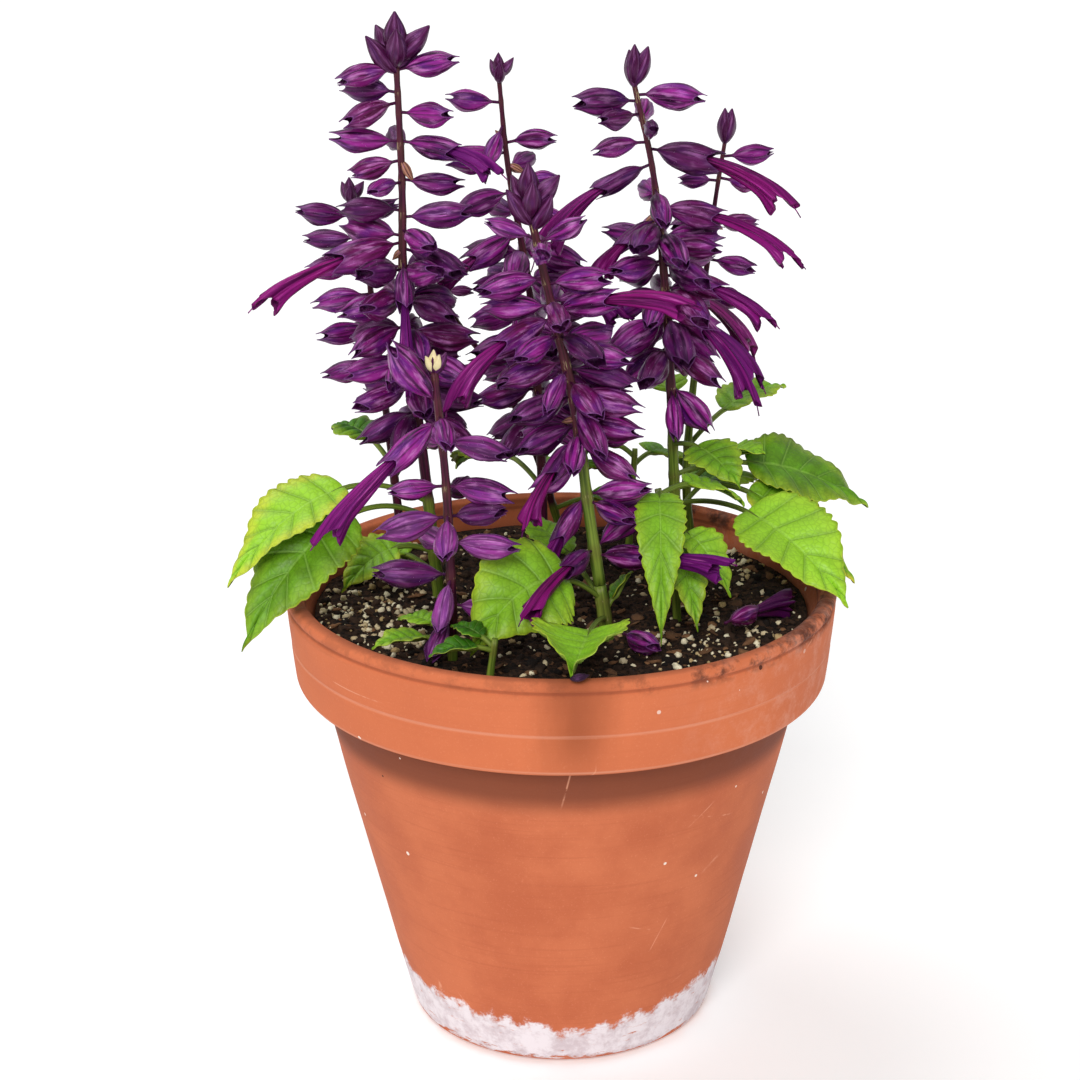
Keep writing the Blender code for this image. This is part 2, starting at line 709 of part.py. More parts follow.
def soil_solid():
    """The soil: a bumpy top and a side that follows the pot's inside, with a gap all round."""
    draw = random.Random(SEED)
    flat = [0.0] * SOIL_SIDES
    band_low = POT_HEIGHT - BAND_HEIGHT
    # The facets of the pot's inside come nearer to the axis than its corners do
    facet = math.cos(math.pi / POT_SIDES)
    rings = [
        level_ring(INNER_BASE_RADIUS - 4.5, FLOOR_THICKNESS + GAP, flat),
        level_ring(INNER_BASE_RADIUS * facet - GAP, FLOOR_THICKNESS + 3.2, flat),
        level_ring(inner_radius(band_low) * facet - GAP, band_low, flat),
        level_ring(inner_radius(SOIL_HEIGHT) * facet - 2 * GAP, SOIL_HEIGHT, flat),
    ]
    for radius in SOIL_RINGS:
        bumps = [draw.uniform(-SOIL_BUMP, SOIL_BUMP) for _ in range(SOIL_SIDES)]
        rings.append(level_ring(radius, SOIL_HEIGHT, bumps))
    return loft(rings, end=np.array([0, 0, SOIL_HEIGHT]))


def material(name):
    made = bpy.data.materials.get(name)
    if made is None:
        made = bpy.data.materials.new(name)
        made.use_nodes = True
        shader = made.node_tree.nodes["Principled BSDF"]
        shader.inputs["Base Color"].default_value = (*COLOURS[name], 1.0)
        shader.inputs["Roughness"].default_value = ROUGHNESS[name]
        made.diffuse_color = (*COLOURS[name], 1.0)
    return made


def new_object(name, solid, look, smooth=False):
    points, faces = solid
    mesh = bpy.data.meshes.new(name)
    mesh.from_pydata([tuple(p * MM) for p in points], [], [tuple(f) for f in faces])
    mesh.materials.append(material(look))
    if smooth:
        mesh.shade_smooth()
        mesh.set_sharp_from_angle(angle=math.radians(SHARP_ANGLE))
    made = bpy.data.objects.new(name, mesh)
    bpy.context.scene.collection.objects.link(made)
    return made


def keep_largest_shell(mesh):
    """Keeps the outer surface alone, which fills sealed hollows and drops loose scraps."""
    shape = bmesh.new()
    shape.from_mesh(mesh)
    waiting = set(shape.faces)
    shells = []
    while waiting:
        shell = set()
        front = [waiting.pop()]
        while front:
            face = front.pop()
            shell.add(face)
            for edge in face.edges:
                for other in edge.link_faces:
                    if other in waiting:
                        waiting.remove(other)
                        front.append(other)
        shells.append(shell)
    shells.sort(key=len)
    for shell in shells[:-1]:
        bmesh.ops.delete(shape, geom=list(shell), context="FACES")
    shape.to_mesh(mesh)
    shape.free()


def fuse(name, solids, look):
    """One object from a solid and those that grow from it, joined by a Boolean union."""
    base = new_object(name, solids[0], look)
    if len(solids) == 1:
        return
    group = bpy.data.collections.new(name + "_parts")
    bpy.context.scene.collection.children.link(group)
    for i, solid in enumerate(solids[1:]):
        piece = new_object(f"{name}_{i}", solid, look)
        bpy.context.scene.collection.objects.unlink(piece)
        group.objects.link(piece)
    join = base.modifiers.new("join", "BOOLEAN")
    join.operation = "UNION"
    join.operand_type = "COLLECTION"
    join.collection = group
    join.solver = "MANIFOLD"
    bpy.context.view_layer.update()
    graph = bpy.context.evaluated_depsgraph_get()
    joined = bpy.data.meshes.new_from_object(base.evaluated_get(graph))
    base.modifiers.clear()
    base.data = joined
    keep_largest_shell(joined)
    for piece in list(group.objects):
        bpy.data.objects.remove(piece)
    bpy.data.collections.remove(group)


def cut_holes(soil, bases):
    """Plain holes in the soil for the stems."""
    flat = [0.0] * HOLE_SIDES
    for name, base in bases.items():
        middle = np.array([base[0], base[1], 0.0])
        shaft = [
            middle + level_ring(HOLE_RADIUS, height, flat)
            for height in (SOIL_HEIGHT - HOLE_DEPTH, SOIL_HEIGHT + HOLE_OVERSHOOT)
        ]
        cutter = new_object("hole_" + name, loft(shaft), "soil")
        cutter.hide_render = True
        cutter.display_type = "WIRE"
        cut = soil.modifiers.new("hole_" + name, "BOOLEAN")
        cut.operation = "DIFFERENCE"
        cut.object = cutter
        cut.solver = "EXACT"


def stem_solids(path, radius, split):
    """The green foot of a stem, and its purple top or nothing, with a gap between them."""
    foot = path[0] - np.array([0, 0, HOLE_DEPTH - GAP])
    whole = np.vstack([foot, path])
    sizes = np.interp(whole[:, 2], (path[0][2], path[-1][2]), radius)
    if split is None:
        return tube(whole, sizes, STEM_SIDES), None
    cut = on_stem(path, split)
    cut_above = on_stem(path, split + GAP)
    size = float(np.interp(split, whole[:, 2], sizes))
    below = whole[:, 2] < split - SPLIT_CLEAR
    above = whole[:, 2] > split + SPLIT_CLEAR
    green = tube(np.vstack([whole[below], cut]), [*sizes[below], size], STEM_SIDES)
    purple = tube(np.vstack([cut_above, whole[above]]), [size, *sizes[above]], STEM_SIDES)
    return green, purple


def spike(name):
    return name + "_flower_spike"


def green_node(name):
    return name + "_leafy_stem" if name in STEMS else name


def place_stems(crowd, paths, solids):
    for name, stem in {**STEMS, **SHOOTS}.items():
        green, purple = stem_solids(paths[name], stem["radius"], stem.get("split"))
        solids[green_node(name)] = [green]
        crowd.add(green, green_node(name))
        if purple:
            solids[spike(name)] = [purple]
            crowd.add(purple, spike(name))


def place_heads(crowd, paths, solids):
    for name, row in HEADS.items():
        for made in head(paths[name], row):
            solids[spike(name)].append(made)
            crowd.add(made, spike(name), made)


def place_tables(crowd, paths, solids):
    """Leaves first, then the open flowers, the calyces by hand and the crowded whorls."""
    for name, rows in LEAVES.items():
        for row in rows:
            solids[green_node(name)] += place_leaf(crowd, green_node(name), paths[name], row)
    for table in (FLOWERS, CALYCES):
        for name, rows in table.items():
            for row in rows:
                solids[spike(name)] += place_flower(crowd, spike(name), paths[name], row)
    for number, (name, crowded) in enumerate(CROWDS.items()):
        for row in crowd_rows(crowded, number):
            made = place_flower(crowd, spike(name), paths[name], row, CROWD_SIDES)
            solids[spike(name)] += made


def build():
    for thing in list(bpy.data.objects):
        bpy.data.objects.remove(thing)
    crowd = Crowd()
    pot = turned(pot_profile(), POT_SIDES)
    soil = soil_solid()
    crowd.add(pot, "pot")
    crowd.add(soil, "soil")
    new_object("pot", pot, "clay", smooth=True)
    ground = new_object("soil", soil, "soil")
    paths = {name: smooth_path(stem["path"], STEM_STEP) for name, stem in {**STEMS, **SHOOTS}.items()}
    cut_holes(ground, {name: path[0] for name, path in paths.items()})
    solids = {}
    place_stems(crowd, paths, solids)
    place_heads(crowd, paths, solids)
    place_tables(crowd, paths, solids)
    for node, made in solids.items():
        fuse(node, made, "bloom" if node.endswith("_flower_spike") else "leaf")
    for node, row in FALLEN.items():
        fuse(node, place_fallen(crowd, node, row), "fallen")


build()
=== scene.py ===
"""The looks of the potted purple sage: each CAD node is replaced by a finer piece of the same form.

The tables and the rule that keeps the flowers and leaves clear of each other are those of the CAD source,
so that every calyx, petal and leaf stands where its plain solid does. Sizes are in millimetres, and MM turns
them into metres as each mesh is made. +Z is up, the front is towards -Y and the right is +X.
"""

import json
import math
import random

import bmesh
import bpy
import numpy as np
from mathutils import Euler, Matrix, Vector, noise
from mathutils.bvhtree import BVHTree

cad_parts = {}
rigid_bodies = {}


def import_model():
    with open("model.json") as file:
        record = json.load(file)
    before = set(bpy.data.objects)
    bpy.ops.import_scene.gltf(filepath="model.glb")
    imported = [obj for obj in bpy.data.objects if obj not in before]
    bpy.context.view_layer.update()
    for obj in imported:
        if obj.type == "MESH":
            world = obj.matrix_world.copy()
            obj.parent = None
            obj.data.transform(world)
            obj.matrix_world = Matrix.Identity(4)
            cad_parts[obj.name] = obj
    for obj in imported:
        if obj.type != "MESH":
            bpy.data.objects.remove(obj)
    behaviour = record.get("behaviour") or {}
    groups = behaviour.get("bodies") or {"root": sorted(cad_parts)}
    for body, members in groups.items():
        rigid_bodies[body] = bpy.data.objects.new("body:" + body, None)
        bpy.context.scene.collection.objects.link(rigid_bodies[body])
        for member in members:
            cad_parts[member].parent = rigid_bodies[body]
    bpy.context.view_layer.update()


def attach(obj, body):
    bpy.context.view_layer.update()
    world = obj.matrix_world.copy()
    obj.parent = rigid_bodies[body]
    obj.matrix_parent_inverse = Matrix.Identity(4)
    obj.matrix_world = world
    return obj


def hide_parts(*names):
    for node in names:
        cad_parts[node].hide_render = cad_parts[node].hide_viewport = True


MM = 0.001
GAP = 0.3
SEED = 27

# The pot: a standard clay pot, 182 mm across its rim and 153 mm high
RIM_RADIUS = 91.0
POT_HEIGHT = 153.0
BASE_RADIUS = 52.0
BAND_HEIGHT = 32.0
BAND_LOW = POT_HEIGHT - BAND_HEIGHT
BAND_LOW_RADIUS = 88.2
SHOULDER_RADIUS = 80.0
LIP_THICKNESS = 6.2
LIP_GROOVE_DROP = 4.2
FLOOR_THICKNESS = 8.5
INNER_BASE_RADIUS = 45.5
DRAIN_RADIUS = 10.0
POT_SIDES = 32

# The soil
SOIL_HEIGHT = 142.0
SOIL_BUMP = 1.1
SOIL_SIDES = 24
SOIL_RINGS = (77.0, 67.0, 55.0, 42.0, 28.0, 14.0)
# How deep the stems stand in it
HOLE_DEPTH = 18.0

# The stems, from the soil up: points on the centre line, radius low and high, and where purple starts
STEMS = {
    "tall_left": {
        "path": ((-41, 9, 142), (-45, 7, 190), (-50, 5, 240), (-50, 5, 284), (-51, 5, 322)),
        "radius": (2.3, 1.0),
        "split": 196,
    },
    "middle_back": {
        "path": ((-6, 37, 142), (-7, 34, 190), (-10, 30, 239), (-17, 30, 282), (-20, 30, 313)),
        "radius": (2.2, 0.8),
        "split": 188,
    },
    "front": {
        "path": ((15, -28, 142), (9, -26, 183), (4, -22, 219), (-4, -20, 254), (-10, -20, 281)),
        "radius": (2.5, 1.2),
        "split": 160,
    },
    "short_front": {
        "path": ((-34, -46, 142), (-34, -47, 166), (-35, -48, 200), (-38, -48, 236)),
        "radius": (1.9, 1.2),
        "split": 150,
    },
    "tall_right": {
        "path": ((41, 31, 142), (38, 22, 179), (35, 20, 232), (30, 20, 280), (23, 20, 312)),
        "radius": (2.4, 0.9),
        "split": 206,
    },
    "small_right": {
        "path": ((46, 42, 142), (43, 38, 180), (48, 42, 240), (51, 44, 268), (54, 45, 289)),
        "radius": (2.0, 0.7),
        "split": 216,
    },
    "small_left": {
        "path": ((-54, 36, 142), (-58, 33, 190), (-62, 31, 232), (-64, 30, 252), (-69, 30, 273)),
        "radius": (1.9, 0.8),
        "split": 205,
    },
    "leaning_back": {
        "path": ((2, 56, 142), (-9, 51, 180), (-21, 47, 208), (-34, 45, 226), (-46, 44, 247)),
        "radius": (1.7, 0.8),
        "split": 176,
    },
}
STEM_SIDES = 4
STEM_STEP = 18.0
SPLIT_CLEAR = 2.0

# Short leafy shoots with no flowers: points on the centre line and the radius low and high
SHOOTS = {
    "right_shoot": {"path": ((38, -14, 142), (36, -14, 165), (31, -15, 188)), "radius": (1.7, 1.2)},
    "front_shoot": {"path": ((-22, -66, 142), (-21, -66, 150), (-20, -66, 157)), "radius": (1.5, 1.1)},
    "back_shoot": {"path": ((24, 58, 142), (25, 60, 160), (26, 61, 178)), "radius": (1.6, 1.1)},
}
PLANTS = {**STEMS, **SHOOTS}

# Flowers: height on the stem, azimuth, pitch and calyx length.
# Azimuth 0 is right, 90 back, 180 left and 270 front; angles are in degrees.
CALYCES = {
    "tall_left": (
        (318, 190, 22, 15), (318, 352, 14, 16), (311, 170, 8, 16), (308, 208, -6, 16),
        (305, 335, 0, 15), (296, 188, 2, 18), (293, 100, 10, 15), (290, 165, -14, 14),
        (284, 352, -6, 16), (283, 235, 5, 13), (274, 172, 8, 17), (272, 8, 2, 18),
        (268, 300, -8, 18), (266, 190, 4, 18), (262, 340, -10, 18),
    ),
    "middle_back": (
        (304, 186, 6, 14), (297, 240, -45, 13), (291, 352, 16, 13), (288, 195, -8, 16), (283, 60, 5, 12),
        (277, 2, 18, 12), (275, 205, -5, 17), (269, 345, 0, 14), (268, 120, 0, 14),
    ),
    "front": (
        (270, 185, 28, 13), (269, 0, 25, 13), (266, 275, 15, 13), (262, 95, 20, 13), (258, 200, 0, 18),
        (256, 345, 5, 17), (236, 345, -4, 19), (232, 190, -12, 18), (226, 300, -18, 17), (222, 350, -6, 19),
        (214, 345, -12, 18), (212, 205, -10, 18), (205, 340, -20, 17), (200, 195, -25, 15),
        (190, 348, 8, 17), (188, 332, -10, 15), (172, 20, 38, 18),
    ),
    "short_front": (
        (226, 200, 52, 21), (222, 282, -5, 15), (214, 352, 0, 17), (212, 110, 10, 15), (200, 190, 0, 14),
        (200, 345, 2, 18), (197, 70, 0, 15), (190, 188, -4, 19), (191, 268, -32, 15), (190, 338, 14, 16),
        (182, 352, -6, 18), (180, 120, 0, 15), (171, 184, 2, 20), (170, 266, -38, 15), (161, 352, -6, 18),
        (157, 222, -24, 14),
    ),
    "tall_right": (
        (308, 350, 6, 18), (306, 190, 6, 17), (302, 205, 0, 13), (300, 85, 8, 14), (298, 282, 8, 11),
        (293, 186, 0, 14), (278, 278, -22, 16), (276, 100, 0, 15), (262, 195, 5, 16), (260, 345, 0, 16),
        (212, 280, -62, 15), (213, 350, -45, 17),
    ),
    "small_right": (
        (284, 2, 4, 13), (277, 350, -10, 10), (276, 150, 0, 11), (264, 210, 0, 13), (262, 20, 0, 13),
        (252, 120, -5, 13), (250, 340, -5, 13), (238, 30, -10, 14), (236, 200, -10, 13),
    ),
    "small_left": (
        (267, 188, 6, 15), (266, 20, 20, 12), (260, 172, -4, 15), (252, 195, 0, 16), (250, 90, 0, 14),
        (241, 180, -5, 16), (239, 60, -5, 14), (230, 200, -10, 16), (228, 130, -10, 15), (217, 180, -12, 16),
    ),
    "leaning_back": (
        (241, 190, 10, 8), (238, 10, 10, 8), (228, 100, 0, 9), (226, 280, 0, 9), (214, 30, 0, 9),
        (212, 190, 0, 9), (198, 100, -5, 10), (196, 300, -5, 10),
    ),
}

# Open flowers: height, azimuth, pitch, calyx length, corolla length and droop along the corolla
FLOWERS = {
    "tall_left": (
        (296, 345, -4, 16, 15, 30), (264, 198, -10, 21, 28, 22), (258, 275, -40, 15, 28, 40),
    ),
    "middle_back": (
        (262, 195, -25, 17, 22, 30), (247, 350, -10, 16, 18, 30),
    ),
    "front": (
        (248, 345, 18, 18, 26, 32), (246, 205, -18, 19, 24, 45), (208, 228, -30, 15, 18, 35),
        (172, 228, -14, 16, 26, 22), (170, 338, 8, 16, 27, 6), (190, 236, -52, 15, 15, 20),
    ),
    "short_front": (
        (221, 202, -34, 19, 31, 12),
    ),
    "tall_right": (
        (291, 350, -6, 20, 28, 34), (286, 192, -20, 17, 28, 40), (272, 2, -6, 18, 31, 38),
        (269, 205, -28, 14, 12, 25), (250, 348, -10, 17, 20, 30), (243, 338, -32, 17, 27, 34),
        (240, 352, -26, 17, 30, 34), (246, 8, -18, 17, 34, 40),
    ),
}

# Crowded whorls, by rule: highest, lowest, spacing, flowers in a whorl, pitch high and low, calyx length
CROWDS = {
    "tall_left": (255, 203, 9.5, 5, 0, -20, 19),
    "middle_back": (256, 198, 9.5, 4, 0, -20, 19),
    "front": (250, 208, 10.0, 4, 0, -20, 19),
    "tall_right": (264, 222, 9.5, 4, 0, -30, 19),
}
CROWD_TURN = 37.0
TURN_SCATTER = 9.0
PITCH_SCATTER = 7.0
HEIGHT_SCATTER = 1.2
SIZE_SCATTER = (0.88, 1.06)

# The bud heads on top: number of buds, their length, lowest pitch and how far the roots are spread
HEADS = {
    "tall_left": (6, 15.0, 42.0, 6.0),
    "middle_back": (4, 8.0, 50.0, 4.0),
    "front": (7, 14.0, 45.0, 9.0),
    "short_front": (3, 8.0, 60.0, 3.0),
    "tall_right": (3, 13.0, 68.0, 3.0),
    "small_right": (2, 12.0, 76.0, 2.0),
    "small_left": (4, 8.0, 50.0, 3.0),
    "leaning_back": (2, 7.0, 55.0, 2.0),
}

TOP_BUD = (250.0, 86.0)
HEAD_TURN = 137.5
HEAD_PITCH_STEP = 6.0
HEAD_SIZE_STEP = 0.05

# Leaves: height on the stem, tip, rise of the midrib, half-width, roll and the petiole's share
LEAVES = {
    "tall_left": (
        (170, (-101, -40, 142), 42, 16.0, 22, 0.42), (176, (-106, -30, 160), 35, 14.0, 10, 0.42),
        (158, (-72, -8, 150), 16, 9.0, 25, 0.40), (150, (-70, 26, 149), 12, 9.0, 0, 0.35),
    ),
    "middle_back": (
        (172, (-38, 76, 166), 20, 15.0, 0, 0.32), (182, (18, 64, 184), 12, 12.0, 0, 0.32),
    ),
    "front": (
        (149, (3, -91, 154), 9, 15.0, -8, 0.46), (155, (-28, -61, 149), 30, 18.0, 37, 0.26),
        (150, (23, -20, 162), 4, 5.0, 30, 0.25), (154, (-14, 6, 172), 10, 8.0, 0, 0.40),
    ),
    "short_front": (
        (147, (-58, -62, 150), 7, 6.0, 0, 0.35), (148, (-52, -32, 150), 8, 6.0, 0, 0.35),
    ),
    "tall_right": (
        (181, (105, 32, 166), 19, 17.0, -20, 0.36), (176, (98, 6, 148), 26, 14.0, -15, 0.40),
        (170, (92, -27, 150), 25, 17.0, -15, 0.42), (192, (58, -8, 186), 10, 10.0, -10, 0.35),
        (166, (68, 60, 166), 16, 14.0, 0, 0.32),
    ),
    "small_right": (
        (186, (78, 56, 202), 12, 12.0, 0, 0.35), (172, (72, 22, 186), 10, 10.0, 0, 0.35),
        (196, (28, 62, 202), 10, 10.0, 0, 0.35),
    ),
    "small_left": (
        (180, (-79, 46, 190), 12, 11.0, 0, 0.35), (176, (-38, 62, 180), 12, 10.0, 0, 0.35),
    ),
    "leaning_back": (
        (164, (8, 84, 160), 16, 13.0, 0, 0.30), (158, (30, 42, 164), 8, 9.0, 0, 0.35),
    ),
    "right_shoot": (
        (187, (31, -55, 150), 26, 8.5, 0, 0.14), (170, (43, -43, 150), 14, 7.0, 0, 0.28),
        (174, (54, -31, 155), 14, 8.0, -10, 0.30), (186, (60, -2, 178), 12, 10.0, 0, 0.30),
    ),
    "front_shoot": (
        (153, (-40, -73, 154), 5, 5.5, 0, 0.25), (154, (-34, -58, 156), 5, 5.5, 0, 0.25),
    ),
    "back_shoot": (
        (172, (46, 76, 164), 14, 12.0, 0, 0.28), (175, (8, 72, 172), 10, 10.0, 0, 0.28),
    ),
}

# What has fallen on the soil: the stalk end, azimuth, calyx length, and any corolla's length and droop
FALLEN = {
    "fallen_calyx": ((19, -33), 308, 15),
    "fallen_flower": ((52, -34), 50, 13, 22, 4),
}
FALLEN_STEP = 0.1

# Shapes of the small parts
FLOWER_SIDES = 5
CROWD_SIDES = 4
CALYX_SLIMNESS = 0.235
PEDICEL = 3.5
CALYX_DROOP = 8.0
CALYX_RINGS = ((0.20, 0.72), (0.60, 1.0))
LIP_SINUS = 0.86
CLOSED_MOUTH = {"lobe": 0.20, "sinus": 0.58, "depth": 0.84}
OPEN_MOUTH = {"lobe": 0.62, "sinus": 0.78, "depth": 0.70}
BUD_RINGS = ((0.25, 0.85), (0.60, 0.90))
BUD_SLIMNESS = 0.21
BUD_CURL = 6.0
COROLLA_START = 0.55
COROLLA_DIP = 4.0
COROLLA_RINGS = ((0.35, 1.9), (0.75, 2.6))
COROLLA_LIPS = ((1.0, 2.4), (0.88, 2.7), (0.95, 4.6), (0.95, 4.6), (0.88, 2.7))
COROLLA_MOUTH = 0.82
LEAF_THICKNESS = 0.7
PETIOLE_RADIUS = 0.9
PETIOLE_DEPTHS = (1.7, 1.4)
BLADE_STATIONS = 9
SMALL_LEAF = 10.5
SMALL_BLADE_STATIONS = 5
WIDEST_SHARE = 0.34
TIP_TAPER = 1.15
TIP_WIDTH = 0.35
TOOTH_DEPTH = 0.22
LEAF_FOLD = 0.16

# How far a flower or leaf may turn or lift to stay clear of its neighbours, in degrees and millimetres
TURNS = (0, 11, -11, 22, -22, 34, -34, 47, -47, 60, -60)
LIFTS = (0, 12, -12, 24, -24)
LIFT_COST = 1.5
LEAF_LIFTS = (0, 2, 4, -2, 7, 10, -5, 14, 18)
LEAF_SWINGS = (0, 6, -6, 12, -12, 20, -20)

# The fine shapes: rows run along an organ and columns round it, and curves are knots of place and value
FINE_STEP = 2.2
THINNEST = 0.12
# About one turn in radians, for random turns and for the starts of waves
WHOLE_TURN = 6.3
# Millimetres in one unit of the attribute "grain", which the looks are drawn by
GRAIN_UNIT = 10
# The seed of the first plant piece, and where each look stands in a plant piece's list
PIECE_SEED = SEED + 100
STEM_LOOK, CALYX_LOOK, PETAL_LOOK = 0, 1, 2
LEAF_LOOKS = (3, 4, 0)

# Calyces: rows, ribs, the curves of a closed one seen from the side and above, and of an open one
CALYX_COLUMNS = 32
CALYX_RIBS = 8
RIB_HEIGHT = 0.12
RIB_LEVEL = 0.4
CALYX_ROWS = (0.02, 0.06, 0.12, 0.2, 0.29, 0.38, 0.47, 0.56, 0.65, 0.73, 0.81, 0.88, 0.94, 0.98, 1.0)
CALYX_INNER_ROWS = (0.985, 0.94, 0.88, 0.8, 0.7)
CALYX_HIGH = (
    (0.0, 0.15), (0.05, 0.34), (0.14, 0.6), (0.28, 0.84), (0.44, 0.98), (0.58, 1.0), (0.72, 0.84),
    (0.84, 0.58), (0.94, 0.36), (1.1, 0.2),
)
CALYX_WIDE = (
    (0.0, 0.15), (0.05, 0.34), (0.14, 0.58), (0.28, 0.8), (0.44, 0.95), (0.6, 1.0), (0.76, 0.92),
    (0.88, 0.72), (1.0, 0.44), (1.1, 0.24),
)
CALYX_OPENED = (
    (0.0, 0.15), (0.05, 0.34), (0.14, 0.6), (0.28, 0.82), (0.45, 0.96), (0.62, 1.0), (0.78, 1.0),
    (0.9, 1.02), (1.1, 1.04),
)
# The lips' middles and reaches in degrees, how pointed they are, and the notches between them
CALYX_LIPS = ((90.0, 80.0), (234.0, 46.0), (306.0, 46.0))
LIP_POINT = 0.72
LIP_TIP = 0.055
NOTCH_CLOSED = 0.84
NOTCH_OPENED = 0.74
OPEN_GAPE = 0.6
CLOSED_GAPE = 0.28
CALYX_BEND = (-16.0, 14.0)
CALYX_FLAT = (0.74, 0.98)
CALYX_GIRTH = (0.92, 1.12)
CALYX_ROLL = 0.45
CALYX_BELLY = 0.12
CALYX_WALL = 0.3
CALYX_FLOOR = 0.45
SHALLOW = 0.35
STALK_PLACES = (0.0, 0.5, 0.85)
STALK_RADIUS = 0.5

# Waves as height, number round the organ and turn along it
CALYX_WAVES = ((0.07, 2, 3), (0.04, 5, 8))
FINE_PLEATS = ((0.12, 8, 0),)
RUFFLES = ((0.45, 8, 0), (0.3, 13, 0))
PETAL_WAVES = ((0.07, 0, 5),)
EDGE_WAVES = ((0.02, 7, 0),)
POT_WAVES = ((0.10, 3, 0.06), (0.07, 7, -0.11), (0.05, 2, 0.9))

# Creases and pleats: how deep they are, where along an organ, how far they turn, and their size
PLEAT_SCATTER = 0.06
CREASES = 5
CREASE_DEPTH = (0.06, 0.26)
CREASE_TURN = 0.6
CREASE_PLACES = (0.45, 0.95)
CREASE_LENGTH = 0.3
CREASE_WIDTH = (0.14, 0.3)

# Hairs: how many and how long, the mean and spread of their lengths, and their lean along and across the organ
HAIRS = 40
HAIR_LENGTH = 0.8
HAIR_LENGTHS = (0.8, 0.3)
HAIR_LEAN = (0.7, 0.5)
HAIR_SUNK = 0.05
HAIR_RADIUS = 0.035

# Fine buds: rows, the curve of their radii, their ribs and unevenness, and how the attribute "mark" runs along
BUD_COLUMNS = 16
BUD_ROWS = 12
BUD_SPAN = (0.03, 0.985)
BUD_SWELL = ((0.0, 0.2), (0.12, 0.6), (0.3, 0.92), (0.5, 1.0), (0.7, 0.78), (0.88, 0.38), (1.0, 0.08))
BUD_FOLD = 0.12
BUD_UNEVEN = 0.08
BUD_STARTS = 9
BUD_TWIST = 0.5
BUD_MARK = (0.25, 0.6)

# Petals: rows, the tube's radii, and each lip's share of the length and radius, from the top round
PETAL_COLUMNS = 40
PETAL_ROWS = (
    0.02, 0.08, 0.15, 0.22, 0.3, 0.38, 0.46, 0.54, 0.61, 0.68, 0.74, 0.8, 0.85, 0.9, 0.94, 0.97, 1.0,
)
PETAL_INNER_ROWS = (0.985, 0.95, 0.9, 0.84, 0.78)
PETAL_TUBE = ((0.0, 0.9), (0.15, 1.3), (0.35, 1.9), (0.55, 2.4), (0.75, 2.7), (1.0, 2.4))
PETAL_LIPS = ((1.0, 1.9), (0.87, 2.6), (0.87, 4.3), (0.87, 4.3), (0.87, 2.6))
PETAL_RIM = 2.6
PETAL_WALL = 0.22
PETAL_THINNEST = 0.25
PETAL_FLAT = 0.66
PETAL_FLARE = 0.68
PETAL_NOTCH = 0.07
PLEATS = 4
PLEAT_DEPTH = 0.24
PLEAT_TURN = 1.2
STYLE_START = 0.7
STYLE_REACH = (0.0, 0.14)
STYLE_ROWS = 7
STYLE_LIFT = 1.3
STYLE_DROP = 1.2
STYLE_BEND = (0.95, 1.1)
STYLE_RADIUS = 0.22
STYLE_ANGLES = np.arange(6) * math.pi / 3
STYLE_MARK = (0.6, 0.4, 0.0)

# Fine leaves: rows from stalk to tip, crowded towards the stalk, and the blade's thickness and veins
BLADE_ROWS = 84
SMALL_BLADE_ROWS = 48
ROW_CROWDING = 1.15
BLADE_SPAN = 0.985
BLADE_START = 0.008
BLADE_COLUMNS = 15
BLADE_HALF = 0.2
MARGIN_THINNING = 0.4
BLADE_TIP = 0.8
VEIN_PAIRS = 7
VEIN_LEAN = 0.21
TOOTH_LENGTH = 3.2
TOOTH_REACH = 1.5
TOOTH_LEAN = 1.5
TOOTH_ROUND = 0.75
FEWEST_TEETH = 5
DEEPEST_TOOTH = 0.16
QUILT_HEIGHT = 1.25
QUILTED_WIDTH = 14
MIDRIB_DEPTH = 0.25
MIDRIB_WIDTH = 0.7
# How much a blade narrows before its tip, where and over what share of its length
LEAF_TAIL = 0.42
TAIL_PLACE = 0.87
TAIL_LENGTH = 0.1
# Ripples of the margin, and the curl of both sides
RIPPLE = 0.07
RIPPLES = (2.2, 3.6)
LEAF_CURL = (-0.12, 0.1)
CURL_UNEVEN = 0.3
# The leaf's stalk, which thins and rises into the blade as its midrib
STALK_ROWS = 36
STALK_COLUMNS = 10
STALK_END = 0.86
STALK_TAPER = 0.78
STALK_GROOVE = 0.12
STALK_SUNK = 1.15
STALK_DIVE = (-0.04, 0.12)
STALK_RISE = 0.6
STALK_RIPE = 0.12

# Fine stems: mean radius, squareness and groove; swelling where something leaves; and where purple starts
STEM_COLUMNS = 16
STEM_SECTION = (0.86, 0.14, 0.05)
STEM_SCATTER = 0.02
NODE_SWELL = 0.16
SWELL_REACH = 1.6
# Heights where each stem turns maroon; the low ones are partly painted shade for stems deep in the tangle
MAROON_AND_SHADE_HEIGHTS = {
    "front": 206.0, "tall_right": 196.0, "tall_left": 178.0, "middle_back": 160.0,
    "small_left": 160.0, "leaning_back": 160.0,
}
RIPE_REACH = 5.0
NEVER_RIPE = 400

# The fine pot: pieces of wall, rounded corners, the line round the band, and the lime at the foot
WALL_STEP = 5.0
CORNER_REACH = 0.9
CORNER_STEPS = 4
ROUNDED_SHARE = 0.45
LINE_DROP = 18.5
LINE_DEPTH = 0.35
LINE_HALF = 0.55
POT_COLUMNS = 160
LIME_HEIGHT = 14.5
LIME_SIDE_RISE = 0.13

# The fine soil: its lumps as width, level in the noise and height, and its rise at the edge
SOIL_COLUMNS = 110
SOIL_ROWS = 44
SOIL_EDGE_GAP = 0.7
SOIL_LUMPS = ((14, 3.0, 1.1), (4.5, 8.0, 0.9))
SOIL_EDGE = (62, 80)
SOIL_EDGE_RISE = 0.6
